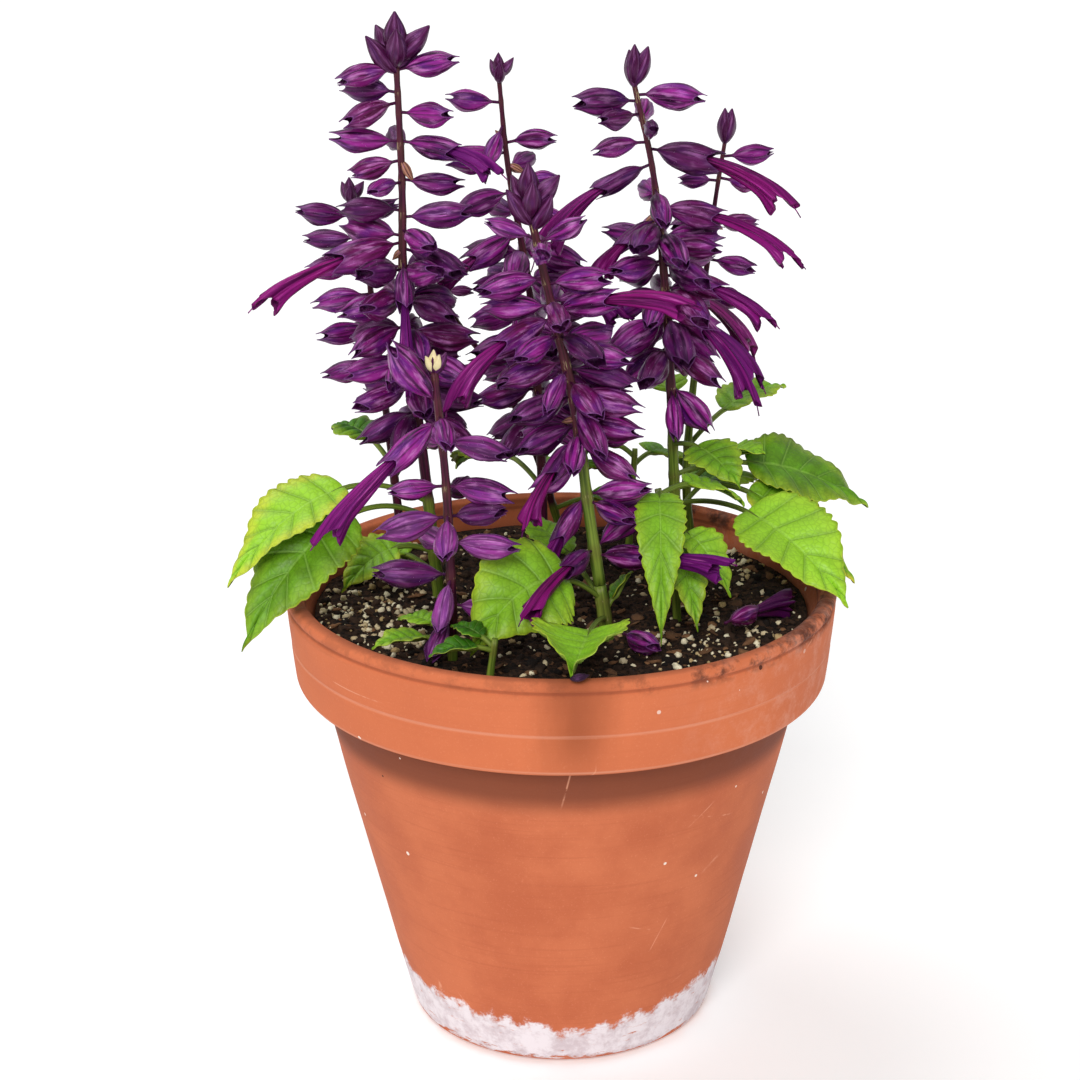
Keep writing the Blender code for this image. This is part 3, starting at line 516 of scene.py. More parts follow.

# How yellow and pale each leaf is and how far a paler margin shows, for leaves that the photo shows plainly.
# The first number is partly painted light and shade: low for leaves that stand in shade, such as the front
# shoot's, and high for brightly lit ones.
LEAF_TINTS = {
    ("tall_left", 0): (0.35, 0.15), ("tall_left", 1): (0.75, 0.8), ("front", 0): (0.6, 0.3),
    ("front", 1): (0.55, 0.3), ("tall_right", 0): (0.3, 0.25), ("tall_right", 1): (0.5, 1.0),
    ("tall_right", 2): (0.75, 0.15), ("right_shoot", 0): (0.5, 0.2), ("right_shoot", 2): (0.6, 0.2),
    ("tall_left", 2): (0.55, 0.6), ("front_shoot", 0): (0.0, 0.0), ("front_shoot", 1): (0.05, 0.0),
}
# The same two numbers for the other leaves, drawn from these ranges
OTHER_TINTS = ((0.1, 0.7), (0, 0.5))
# Tones past one, for what is not violet: tan, cream, hairs and black
TAN, CREAM, HAIR_TONE, BLACK = 2.0, 3.0, 5.0, 6.0
# How far the sides of a leaf curl up, as a share of its half width
CURLED = {("front", 0): 0.42}
# Dry petals that hang from a leafy foot: place, azimuth, pitch, length and tone
WITHERED = {"front": (((2.6, -91.0, 154.3), 8.0, 6.0, 6.0, BLACK),)}
# The range of tones of the calyces on a stem, from maroon through violet to pale
TONES = {
    "short_front": (0.5, 1.0), "other": (0.0, 0.85), "fallen_flower": (0.0, 0.2), "fallen_calyx": (0.2, 0.5),
}
# Tones of the bud heads: maroon, and fully darkened in calyx_look, partly as painted shade
HEAD_TONES = (0.0405, 0.0434)
# Dry bracts and pale stubs by stem: height, azimuth, pitch, length and tone
DRY = {
    "tall_left": ((290, -12, -62, 7.5, TAN), (262, 196, -50, 5.0, TAN), (236, 12, -48, 5.0, TAN)),
    "middle_back": ((284, 12, -30, 6.5, TAN), (292, 165, 40, 4.5, TAN), (262, 190, -35, 5.5, TAN)),
    "front": ((238, 16, -24, 5.0, TAN), (214, 194, -16, 5.0, TAN)),
    "tall_right": ((270, 184, -42, 6.0, TAN), (240, -8, -55, 5.0, TAN)),
    "small_right": ((262, 10, -35, 4.5, TAN),),
    "short_front": (
        (236, -50, 62, 6.5, CREAM), (236, -150, 58, 6.0, CREAM), (236, 25, 40, 5.0, CREAM),
        (236, -100, 84, 7.0, CREAM),
    ),
}
# Dark, middle, pale, yellow and vein colours, how strongly the veins show, and the roughness
LEAF_TOP = ((28, 74, 6), (84, 150, 18), (166, 222, 52), (200, 208, 58), (168, 212, 98), 0.28, 0.42)
LEAF_UNDER = ((70, 114, 30), (112, 158, 54), (146, 184, 66), (176, 196, 76), (166, 200, 108), 0.4, 0.55)

# Grains thrown on the soil: how many, where, sizes, flatness, dents and how high they lie. Where is the even
# chance, then spots of more as place, width and weight. Their look is two colours, roughness and pits.
NEAR = (0.07, (
    (-64.0, -2.0, 24.0, 0.6), (-48.0, -30.0, 16.0, 0.5), (58.0, 42.0, 16.0, 0.5), (48.0, -36.0, 20.0, 0.35),
))
GRAINS = {
    "perlite_grains": {
        "thrown": (820, NEAR, (0.4, 1.5), (0.55, 0.95), 0.36, 0.3),
        "look": ((186, 158, 108), (252, 242, 208), 0.8, 0.25),
    },
    "bark_flakes": {
        "thrown": (520, (0.5, ()), (0.7, 2.9), (0.2, 0.4), 0.36, 0.3),
        "look": ((40, 24, 16), (138, 98, 66), 0.85, 0.3),
    },
    "soil_crumbs": {
        "thrown": (1900, (0.6, ()), (0.5, 1.9), (0.5, 0.9), 0.34, 0.1),
        "look": ((16, 11, 9), (62, 44, 32), 0.95, 0.4),
    },
}

# How near to the wall grains lie, how common small ones are, how far apart their pits are drawn, and how
# they are stretched, tilted and turned
GRAIN_EDGE_GAP = 1.5
SMALL_GRAINS = 2.2
GRAIN_SHIFT = 9
GRAIN_STRETCH = ((0.8, 1.15), (0.6, 1.0))
GRAIN_TURNS = ((-0.5, 0.5), (-0.5, 0.5), (0, WHOLE_TURN))

# The studio, in metres: the sky's strength, the floor, each lamp's place, angle and power, and the camera
WHITE = (1.0, 1.0, 1.0, 1.0)
SKY = 0.4
FLOOR_HALF = 6.0
FLOOR_DROP = 0.0004
FLOOR_GREY = (0.85, 0.85, 0.85, 1.0)
FLOOR_GLOW = 0.26
LAMPS = {
    "key": ((-0.2, -1.3, 1.0), 24.0, 1.85),
    "top": ((-0.7, 0.5, 1.5), 40.0, 1.0),
}
CAMERA_LENS = 79.03
CAMERA_SENSOR = 36.0
CAMERA_SHIFT = -21 / 1080
CAMERA_PLACE = (0.0, -0.735, 0.4251)
CAMERA_TILT = 19.45


def unit(vector):
    return vector / np.linalg.norm(vector, axis=-1, keepdims=True)


def smooth_path(points, step):
    """Points about a step apart on a smooth curve through the given ones."""
    points = [np.array(p, float) for p in points]
    ends = [2 * points[0] - points[1]] + points + [2 * points[-1] - points[-2]]
    result = []
    for before, start, end, after in zip(ends, ends[1:], ends[2:], ends[3:]):
        pieces = max(1, round(np.linalg.norm(end - start) / step))
        for i in range(pieces):
            t = i / pieces
            result.append(
                0.5 * (2 * start + (end - before) * t
                       + (2 * before - 5 * start + 4 * end - after) * t ** 2
                       + (3 * start - before - 3 * end + after) * t ** 3)
            )
    result.append(points[-1])
    return np.array(result)


def on_stem(path, height):
    """The centre of a stem at a height."""
    return np.array([np.interp(height, path[:, 2], path[:, i]) for i in range(3)])


def loft(rings, start=None, end=None):
    """A closed solid through rings of equal size, whose start and end are each flat or drawn to a point."""
    count = len(rings[0])
    points = np.concatenate(rings)
    if start is None:
        faces = [(0, i + 1, i) for i in range(1, count - 1)]
    else:
        points = np.vstack([points, start])
        faces = [((i + 1) % count, i, len(points) - 1) for i in range(count)]
    for k in range(len(rings) - 1):
        for i in range(count):
            a = k * count + i
            b = k * count + (i + 1) % count
            faces += [(a, b, b + count), (a, b + count, a + count)]
    last = (len(rings) - 1) * count
    if end is None:
        faces += [(last, last + i, last + i + 1) for i in range(1, count - 1)]
    else:
        points = np.vstack([points, end])
        faces += [(last + i, last + (i + 1) % count, len(points) - 1) for i in range(count)]
    return points, faces


def ring(centre, side, up, radii, angles):
    return np.array([
        centre + r * (math.cos(a) * side + math.sin(a) * up) for r, a in zip(radii, angles)
    ])


def circle(sides, first=math.pi / 2):
    return [first + 2 * math.pi * i / sides for i in range(sides)]


def frames(path):
    """The centre, side and up directions at each point of a path, kept from twisting."""
    side = np.array([1.0, 0.0, 0.0])
    for i, centre in enumerate(path):
        along = unit(path[min(i + 1, len(path) - 1)] - path[max(i - 1, 0)])
        side = unit(side - along * side.dot(along))
        yield centre, side, np.cross(along, side)


def tube(path, radii, sides):
    """A closed tube along a path."""
    angles = circle(sides, math.pi / 4)
    return loft([ring(*frame, [radius] * sides, angles) for frame, radius in zip(frames(path), radii)])


def arc(root, azimuth, pitch, length, droop):
    """A function giving the centre, side and up directions at a share, or at many, of a drooping axis."""
    turn = math.radians(azimuth)
    out = np.array([math.cos(turn), math.sin(turn), 0.0])
    side = np.array([-math.sin(turn), math.cos(turn), 0.0])
    top = np.array([0.0, 0.0, 1.0])
    rise = math.radians(pitch)
    bend = math.radians(-droop) or 1e-6

    def at(share):
        angle = np.asarray(rise + bend * share)[..., None]
        run = (np.sin(angle) - math.sin(rise)) / bend
        climb = -(np.cos(angle) - math.cos(rise)) / bend
        centre = root + length * (out * run + top * climb)
        return centre, side, -np.sin(angle) * out + np.cos(angle) * top

    return at


def plain_calyx(root, azimuth, pitch, length, opened=False, grow=0.0, sides=FLOWER_SIDES):
    """A calyx: a short stalk that widens to a bell, with one upper and two lower pointed lips."""
    whole = length + PEDICEL
    at = arc(root, azimuth, pitch, whole, CALYX_DROOP)
    radius = length * CALYX_SLIMNESS + grow
    angles = circle(sides)
    rings = []
    for share, size in CALYX_RINGS:
        rings.append(ring(*at((PEDICEL + share * length) / whole), [size * radius] * sides, angles))
    mouth = OPEN_MOUTH if opened else CLOSED_MOUTH
    lips = []
    for angle in angles:
        is_lobe = abs(math.sin(angle)) > 0.5
        share = 1.0 if is_lobe else LIP_SINUS
        size = mouth["lobe" if is_lobe else "sinus"]
        centre, side, up = at((PEDICEL + share * length) / whole)
        lips.append(centre + size * radius * (math.cos(angle) * side + math.sin(angle) * up))
    rings.append(np.array(lips))
    return loft(rings, start=root, end=at((PEDICEL + mouth["depth"] * length) / whole)[0])


def plain_bud(root, azimuth, pitch, length):
    """A slim closed bud, pointed at both ends."""
    at = arc(root, azimuth, pitch, length, -BUD_CURL)
    radius = BUD_SLIMNESS * length
    angles = circle(CROWD_SIDES)
    rings = [ring(*at(share), [size * radius] * CROWD_SIDES, angles) for share, size in BUD_RINGS]
    return loft(rings, start=root, end=at(1.0)[0])


def petal_axis(root, azimuth, pitch, calyx_length, length, droop):
    """Where the petals start inside their calyx, and the function of their drooping axis."""
    inside = COROLLA_START * calyx_length
    whole = calyx_length + PEDICEL
    start = arc(root, azimuth, pitch, whole, CALYX_DROOP)((inside + PEDICEL) / whole)[0]
    return start, arc(start, azimuth, pitch - COROLLA_DIP, length + calyx_length - inside, droop)


def plain_corolla(*aim_and_petals, grow=0.0):
    """A petal tube from inside the calyx to a hooded upper lip and two turned-down lower lobes."""
    start, at = petal_axis(*aim_and_petals)
    angles = circle(FLOWER_SIDES)
    rings = [ring(*at(s), [r + grow] * FLOWER_SIDES, angles) for s, r in COROLLA_RINGS]
    lips = []
    for angle, (share, size) in zip(angles, COROLLA_LIPS):
        centre, side, up = at(share)
        lips.append(centre + (size + grow) * (math.cos(angle) * side + math.sin(angle) * up))
    rings.append(np.array(lips))
    return loft(rings, start=start, end=at(COROLLA_MOUTH)[0])


def outline(share):
    """The half-width of a pointed oval blade, as a share of its widest."""
    low = np.sqrt(np.clip(1 - (1 - share / WIDEST_SHARE) ** 2, 0, None))
    past = (share - WIDEST_SHARE) / (1 - WIDEST_SHARE)
    high = np.clip(np.cos(math.pi / 2 * np.clip(past, 0, 1)), 0, None) ** TIP_TAPER
    return np.where(share < WIDEST_SHARE, low, high)


def midrib(root, tip, rise, roll):
    """A function giving the point, side and normal at a share, or at many, of a leaf's arched midrib."""
    control = root + 0.5 * (tip - root) + np.array([0.0, 0.0, rise])
    flat = unit(np.array([tip[0] - root[0], tip[1] - root[1], 0.0]))
    side_flat = np.array([flat[1], -flat[0], 0.0])
    tilt = math.radians(roll)

    def at(share):
        share = np.asarray(share)[..., None]
        point = (1 - share) ** 2 * root + 2 * share * (1 - share) * control + share ** 2 * tip
        along = unit((1 - share) * (control - root) + share * (tip - control))
        level = unit(np.cross(side_flat, along))
        across = np.cross(along, level)
        side = math.cos(tilt) * across + math.sin(tilt) * level
        return point, side, math.cos(tilt) * level - math.sin(tilt) * across

    return at


def leaf_stations(half_width, petiole):
    """The share along the midrib, half-width and thickness of each section of a leaf."""
    stalk_low, stalk_high = PETIOLE_DEPTHS
    stations = [(0.0, PETIOLE_RADIUS, stalk_low), (petiole, PETIOLE_RADIUS, stalk_high)]
    count = SMALL_BLADE_STATIONS if half_width < SMALL_LEAF else BLADE_STATIONS
    for k in range(1, count + 1):
        share = k / count
        tooth = 1.0 if k % 2 else 1.0 - TOOTH_DEPTH
        width = max(half_width * outline(share) * tooth, TIP_WIDTH)
        stations.append((petiole + (1 - petiole) * share, width, LEAF_THICKNESS))
    return stations


def plain_leaf(root, tip, rise, half_width, roll, petiole, grow=0.0):
    """A leaf: a slim stalk and a toothed, folded blade of even thickness."""
    at = midrib(root, tip, rise, roll)
    rings = []
    for share, width, thickness in leaf_stations(half_width, petiole):
        point, side, normal = at(share)
        half = (thickness / 2 + grow) * normal
        lift = LEAF_FOLD * width * normal
        left = point - (width + grow) * side + lift
        right = point + (width + grow) * side + lift
        low = [right - half, point - half, left - half]
        high = [left + half, point + half, right + half]
        rings.append(np.array(low + high))
    return blade_solid(rings)


def blade_solid(rings):
    """Joins sections of six points, split into triangles alike on the two faces of the blade."""
    points = np.concatenate(rings)
    faces = [(0, 4, 1), (0, 5, 4), (1, 4, 3), (1, 3, 2)]
    for k in range(len(rings) - 1):
        a, b = 6 * k, 6 * (k + 1)
        for i, j in ((0, 1), (2, 1)):
            low, high = (i, j), (5 - i, 5 - j)
            faces += oriented(a, b, low, flip=i > j)
            faces += oriented(a, b, high, flip=i < j)
        faces += [(a, b, b + 5), (a, b + 5, a + 5)]
        faces += [(a + 3, b + 3, b + 2), (a + 3, b + 2, a + 2)]
    last = 6 * (len(rings) - 1)
    faces += [(last + p, last + r, last + q) for p, q, r in faces[:4]]
    return points, faces


def oriented(a, b, pair, flip):
    """Two triangles between an outer point and a midrib point of one section and the next."""
    i, j = pair
    made = [(a + i, a + j, b + j), (a + i, b + j, b + i)]
    return [face[::-1] for face in made] if flip else made


class Crowd:
    """What has been placed so far, so that each new solid can be turned clear of the rest.

    A solid is tested whole against other nodes' solids, and without its stalk against its own node's.
    """

    def __init__(self):
        self.placed = []

    def add(self, solid, owner, past_stalk=None):
        low, high = solid[0].min(axis=0), solid[0].max(axis=0)
        self.placed.append((low, high, tree_of(solid), past_stalk and tree_of(past_stalk), owner))

    def clear(self, solid, owner, past_stalk):
        low, high = solid[0].min(axis=0), solid[0].max(axis=0)
        whole, free = tree_of(solid), tree_of(past_stalk)
        for other_low, other_high, other_whole, other_free, other_owner in self.placed:
            if (low > other_high).any() or (high < other_low).any():
                continue
            if owner != other_owner and whole.overlap(other_whole):
                return False
            if owner == other_owner and other_free and free.overlap(other_free):
                return False
        return True

    def all_clear(self, solids, owner):
        return all(self.clear(solid, owner, past_stalk) for solid, past_stalk in solids)

    def add_all(self, solids, owner):
        for solid, past_stalk in solids:
            self.add(solid, owner, past_stalk)


def tree_of(solid):
    points, faces = solid
    return BVHTree.FromPolygons([tuple(p) for p in points], faces)


def without_root(solid):
    """A calyx without the faces that meet its root, where stalks may touch inside the stem."""
    points, faces = solid
    root = len(points) - 2
    return points, [face for face in faces if root not in face]


def without_petiole(solid):
    """A leaf's blade alone."""
    points, faces = solid
    return points, [face for face in faces if min(face) >= 6]


def crowd_rows(row, stem_number):
    """Rows for crowded whorls that turn as they go down the stem."""
    top, bottom, step, count, high_pitch, low_pitch, length = row
    draw = random.Random(SEED + stem_number)
    rows = []
    height = top
    number = 0
    while height >= bottom:
        down = (top - height) / (top - bottom)
        for i in range(count):
            azimuth = CROWD_TURN * number + 360 * i / count
            azimuth += draw.uniform(-TURN_SCATTER, TURN_SCATTER)
            pitch = high_pitch + (low_pitch - high_pitch) * down
            pitch += draw.uniform(-PITCH_SCATTER, PITCH_SCATTER)
            level = height + draw.uniform(-HEIGHT_SCATTER, HEIGHT_SCATTER)
            rows.append((level, azimuth % 360, pitch, length * draw.uniform(*SIZE_SCATTER)))
        height -= step
        number += 1
    return rows


def turned(profile, sides):
    """A solid turned from a closed profile of radius and height: up the outside, then down the inside."""
    rings = []
    for i in range(sides):
        angle = 2 * math.pi * i / sides
        rings.append([(r * math.cos(angle), r * math.sin(angle), z) for r, z in profile])
    count = len(profile)
    points = np.array(rings).reshape(-1, 3)
    faces = []
    for i in range(sides):
        for j in range(count):
            a, b = i * count + j, i * count + (j + 1) % count
            c, d = (i + 1) % sides * count + (j + 1) % count, (i + 1) % sides * count + j
            faces += [(a, d, c), (a, c, b)]
    return points, faces


def pot_profile():
    """The pot's section: outside upwards from the drain hole, over the lip and down the inside."""
    groove = POT_HEIGHT - LIP_GROOVE_DROP
    lip = RIM_RADIUS - LIP_THICKNESS
    return [
        (DRAIN_RADIUS, 0.0),
        (BASE_RADIUS - 3.0, 0.0),
        (BASE_RADIUS - 0.6, 1.2),
        (BASE_RADIUS + 0.4, 4.0),
        (SHOULDER_RADIUS, BAND_LOW - 1.0),
        (BAND_LOW_RADIUS - 1.2, BAND_LOW),
        (BAND_LOW_RADIUS, BAND_LOW + 1.6),
        (RIM_RADIUS - 0.6, groove - 1.0),
        (RIM_RADIUS - 1.4, groove),
        (RIM_RADIUS - 0.2, groove + 1.4),
        (RIM_RADIUS - 0.8, POT_HEIGHT - 0.8),
        (RIM_RADIUS - LIP_THICKNESS / 2, POT_HEIGHT),
        (lip + 0.6, POT_HEIGHT - 1.0),
        (lip, POT_HEIGHT - 3.0),
        (inner_radius(BAND_LOW), BAND_LOW),
        (INNER_BASE_RADIUS, FLOOR_THICKNESS + 3.0),
        (INNER_BASE_RADIUS - 3.5, FLOOR_THICKNESS),
        (DRAIN_RADIUS, FLOOR_THICKNESS),
    ]


def inner_radius(height):
    """The radius of the pot's inside wall at a height."""
    heights = (FLOOR_THICKNESS + 3.0, BAND_LOW, POT_HEIGHT - 3.0)
    radii = (INNER_BASE_RADIUS, SHOULDER_RADIUS - 5.4, RIM_RADIUS - LIP_THICKNESS)
    return float(np.interp(height, heights, radii))


def level_ring(radius, height, bumps):
    """Points round the pot's axis at one radius, each raised by its own bump."""
    angles = circle(len(bumps), 0)
    return np.array([
        (radius * math.cos(a), radius * math.sin(a), height + bump) for a, bump in zip(angles, bumps)
    ])


def soil_solid():
    """The soil: a bumpy top and a side that follows the pot's inside, with a gap all round."""
    draw = random.Random(SEED)
    flat = [0.0] * SOIL_SIDES
    # The facets of the pot's inside come nearer to the axis than its corners do
    facet = math.cos(math.pi / POT_SIDES)
    rings = [
        level_ring(INNER_BASE_RADIUS - 4.5, FLOOR_THICKNESS + GAP, flat),
        level_ring(INNER_BASE_RADIUS * facet - GAP, FLOOR_THICKNESS + 3.2, flat),
        level_ring(inner_radius(BAND_LOW) * facet - GAP, BAND_LOW, flat),
        level_ring(inner_radius(SOIL_HEIGHT) * facet - 2 * GAP, SOIL_HEIGHT, flat),
    ]
    for radius in SOIL_RINGS:
        bumps = [draw.uniform(-SOIL_BUMP, SOIL_BUMP) for _ in range(SOIL_SIDES)]
        rings.append(level_ring(radius, SOIL_HEIGHT, bumps))
    return loft(rings, end=np.array([0, 0, SOIL_HEIGHT]))


class Shape:
    """The points, faces and shading numbers of one piece, gathered part by part."""

    def __init__(self):
        self.parts = []
        self.size = 0

    def add(self, points, grain, mark, quads, triangles, quad_looks, triangle_looks):
        if volume(points, quads, triangles) < 0:
            quads, triangles = quads[:, ::-1], triangles[:, ::-1]
        quads, triangles = quads + self.size, triangles + self.size
        self.parts.append((points, grain, mark, quads, triangles, quad_looks, triangle_looks))
        self.size += len(points)

    def facets(self, points, grain, mark, triangles, look):
        """Closed surfaces of triangles alone, with one look and one mark."""
        worn = np.full(len(triangles), look)
        mark = np.broadcast_to(mark, points.shape)
        self.add(points, grain, mark, np.zeros((0, 4), int), triangles, worn[:0], worn)

    def body(self, grid, ends, grain, mark, looks):
        """A closed surface: a grid of rows wrapped round an axis, with a point at each end."""
        rows, columns = grid.shape[:2]
        numbers = []
        for kind in (grain, mark):
            kind = np.broadcast_to(kind, grid.shape)
            numbers.append(np.vstack([kind.reshape(-1, 3), kind[0].mean(axis=0), kind[-1].mean(axis=0)]))
        here = np.arange(columns)
        after = (here + 1) % columns
        starts = np.arange(rows - 1)[:, None] * columns
        quads = np.stack([starts + i for i in (here, after, after + columns, here + columns)], -1)
        last = (rows - 1) * columns
        tips = np.full(columns, rows * columns)
        fans = [np.stack([after, here, tips], -1), np.stack([last + here, last + after, tips + 1], -1)]
        looks = np.broadcast_to(looks, columns)
        self.add(np.vstack([grid.reshape(-1, 3), np.array(ends)]), *numbers, quads.reshape(-1, 4),
                 np.vstack(fans), np.tile(looks, rows - 1), np.tile(looks, 2))

    def make(self, name, looks):
        """The Blender object of everything gathered."""
        points, grain, mark, quads, triangles, *worn = map(np.concatenate, zip(*self.parts))
        corners = np.concatenate([quads.ravel(), triangles.ravel()])
        starts = np.concatenate([
            4 * np.arange(len(quads)), 4 * len(quads) + 3 * np.arange(len(triangles))
        ])
        mesh = bpy.data.meshes.new(name)
        mesh.vertices.add(len(points))
        mesh.loops.add(len(corners))
        mesh.polygons.add(len(starts))
        mesh.vertices.foreach_set("co", (points * MM).ravel())
        mesh.loops.foreach_set("vertex_index", corners)
        mesh.polygons.foreach_set("loop_start", starts)
        mesh.polygons.foreach_set("material_index", np.concatenate(worn))
        for title, numbers in (("grain", grain), ("mark", mark)):
            kept = mesh.attributes.new(title, "FLOAT_VECTOR", "POINT")
            kept.data.foreach_set("vector", numbers.ravel())
        mesh.update(calc_edges=True)
        mesh.validate()
        mesh.shade_smooth()
        for look in looks:
            mesh.materials.append(look)
        return linked(name, mesh)


def linked(name, data):
    """A new object in the scene."""
    made = bpy.data.objects.new(name, data)
    bpy.context.scene.collection.objects.link(made)
    return made


def volume(points, quads, triangles):
    """Six times the volume inside a closed surface, negative if its faces point inwards."""
    corners = points - points.mean(axis=0)
    faces = np.vstack([quads[:, :3], quads[:, [0, 2, 3]], triangles])
    a, b, c = (corners[faces[:, i]] for i in range(3))
    return float((a * np.cross(b, c)).sum())


def stack(*numbers):
    """Vectors from three numbers or grids of numbers."""
    return np.stack(np.broadcast_arrays(*numbers), axis=-1).astype(float)


def through(knots, places):
    """A smooth curve through knots of place and value, read at each place."""
    curve = smooth_path([(x, y, 0.0) for x, y in knots], 0.02)
    return np.interp(places, curve[:, 0], curve[:, 1])


def ease(value, low, high):
    """Zero below low, one above high and smooth between."""
    share = np.clip((value - low) / (high - low), 0.0, 1.0)
    return share * share * (3 - 2 * share)


def wrapped(at, shares, radii, angles, flat=1.0, roll=0.0):
    """Points round a bent axis, in rows along it and columns round it, flattened and then rolled."""
    centre, side, up = at(shares)
    across, high = flat * radii * np.cos(angles), radii * np.sin(angles)
    to_side = across * math.cos(roll) - high * math.sin(roll)
    to_up = across * math.sin(roll) + high * math.cos(roll)
    return centre + to_side[..., None] * side + to_up[..., None] * up


def lip_shape(angles):
    """One at the point of each of a calyx's three lips, and zero in the notches between them."""
    shape = np.zeros(len(angles))
    for middle, reach in CALYX_LIPS:
        apart = np.abs((angles - math.radians(middle) + math.pi) % (2 * math.pi) - math.pi)
        shape = np.maximum(shape, np.clip(1 - apart / math.radians(reach), 0, 1) ** LIP_POINT)
    return shape


def pleated(columns, strength, draw):
    """Small random folds, one for each column."""
    return np.array([draw.uniform(-strength, strength) for _ in range(columns)])


def rippled(waves, starts, angles, place):
    """Waves added up: each has a height, a number round the organ and a turn along it."""
    return sum(
        high * np.sin(number * angles + start + turn * place)
        for (high, number, turn), start in zip(waves, starts)
    )


def creases(angles, place, draw):
    """A few deep folds that run down an organ, each at its own side and strongest at its own place."""
    depth = 0.0 * angles * place
    for _ in range(CREASES):
        middle, turn = draw.uniform(0, 2 * math.pi), draw.uniform(-CREASE_TURN, CREASE_TURN)
        apart = (angles + turn * place - middle + math.pi) % (2 * math.pi) - math.pi
        along = np.exp(-((place - draw.uniform(*CREASE_PLACES)) / CREASE_LENGTH) ** 2)
        depth += draw.uniform(*CREASE_DEPTH) * np.exp(-(apart / draw.uniform(*CREASE_WIDTH)) ** 2) * along
    return depth


def hairs(shape, look, grid, draw):
    """Short fine hairs that stand out from a grid of points round an organ."""
    rows = np.array([draw.randrange(1, len(grid) - 1) for _ in range(HAIRS)])
    columns = np.array([draw.randrange(grid.shape[1]) for _ in range(HAIRS)])
    drawn = np.array([[draw.uniform(-1, 1) for _ in range(5)] for _ in range(HAIRS)])
    to_side, to_next, longer, lean, slant = drawn.T[..., None]
    root, beside, after = grid[rows, columns], grid[rows, columns - 1], grid[rows + 1, columns]
    out = unit(np.cross(beside - root, after - root))
    out = out * np.sign((out * (root - grid[rows].mean(axis=1))).sum(axis=1))[:, None]
    along = unit(after - root)
    side = np.cross(out, along)
    root = root + abs(to_side) * (beside - root) + abs(to_next) * (after - root) - HAIR_SUNK * out
    length = HAIR_LENGTH * (HAIR_LENGTHS[0] + HAIR_LENGTHS[1] * longer)
    tip = root + length * unit(out + HAIR_LEAN[0] * lean * along + HAIR_LEAN[1] * slant * side)
    low = [root + HAIR_RADIUS * (math.cos(a) * along + math.sin(a) * side) for a in circle(3)]
    points = np.stack([*low, tip], axis=1).reshape(-1, 3)
    spear = np.array([(0, 1, 3), (1, 2, 3), (2, 0, 3), (2, 1, 0)])
    faces = (spear + 4 * np.arange(HAIRS)[:, None, None]).reshape(-1, 3)
    shape.facets(points, 0 * points, (HAIR_TONE, 0.5, 0.0), faces, look)


def calyx(shape, looks, aim, opened, tones, draw):
    """A ribbed bell on a short stalk, with one upper and two lower pointed lips and a hollow mouth."""
    root, azimuth, pitch, length = aim
    whole = length + PEDICEL
    at = arc(root, azimuth, pitch, whole, CALYX_DROOP + (0 if opened else draw.uniform(*CALYX_BEND)))
    angles = np.array(circle(CALYX_COLUMNS))
    lip = lip_shape(angles)
    gape = OPEN_GAPE if opened else CLOSED_GAPE * draw.random() ** 2
    notch = NOTCH_CLOSED + (NOTCH_OPENED - NOTCH_CLOSED) * gape
    end = notch + (1 - notch) * lip + LIP_TIP * lip ** 5
    deep = SHALLOW + (1 - SHALLOW) * gape
    down, inner = np.array(CALYX_ROWS)[:, None], 1 - deep * (1 - np.array(CALYX_INNER_ROWS)[:, None])
    place = np.vstack([down, inner])
    share = place * end
    opening = gape * through(CALYX_OPENED, share)
    high, wide = ((1 - gape) * through(closed, share) + opening for closed in (CALYX_HIGH, CALYX_WIDE))
    ribs = np.abs(np.cos(CALYX_RIBS / 2 * (angles - math.pi / 2))) ** 3 - RIB_LEVEL
    folds = RIB_HEIGHT * ribs + pleated(CALYX_COLUMNS, PLEAT_SCATTER, draw) - creases(angles, place, draw)
    bell = high * (1 + folds * np.sin(math.pi * place) ** 0.6)
    bell = bell * (1 - CALYX_BELLY * np.sin(angles) * np.sin(math.pi * np.clip(share, 0, 1)))
    starts = [draw.uniform(0, WHOLE_TURN) for _ in CALYX_WAVES]
    bell = bell * (1 + rippled(CALYX_WAVES, starts, angles, place))
    radii = length * CALYX_SLIMNESS * draw.uniform(*CALYX_GIRTH) * bell
    radii[len(down):] -= CALYX_WALL
    flat = draw.uniform(*CALYX_FLAT) * wide / high
    stalk = np.array(STALK_PLACES)[:, None]
    narrow = np.full((len(stalk), CALYX_COLUMNS), STALK_RADIUS)
    shares = np.vstack([stalk * PEDICEL + 0 * end, PEDICEL + share * length]) / whole
    flat = np.vstack([narrow ** 0, flat])
    radii = np.vstack([narrow, np.maximum(radii, THINNEST)])
    grid = wrapped(at, shares, radii, angles, flat, draw.uniform(-CALYX_ROLL, CALYX_ROLL))
    place = np.vstack([stalk - 1.0, place])
    outside = len(stalk) + len(down)
    grain = stack(np.cos(angles), np.sin(angles), place * length / GRAIN_UNIT)
    mark = stack(draw.uniform(*tones), place, np.arange(len(grid))[:, None] >= outside)
    hairs(shape, looks, grid[len(stalk):outside], draw)
    floor = 1 - deep * (1 - CALYX_FLOOR)
    shape.body(grid, [at(0.0)[0], at((PEDICEL + floor * length) / whole)[0]], grain, mark, looks)


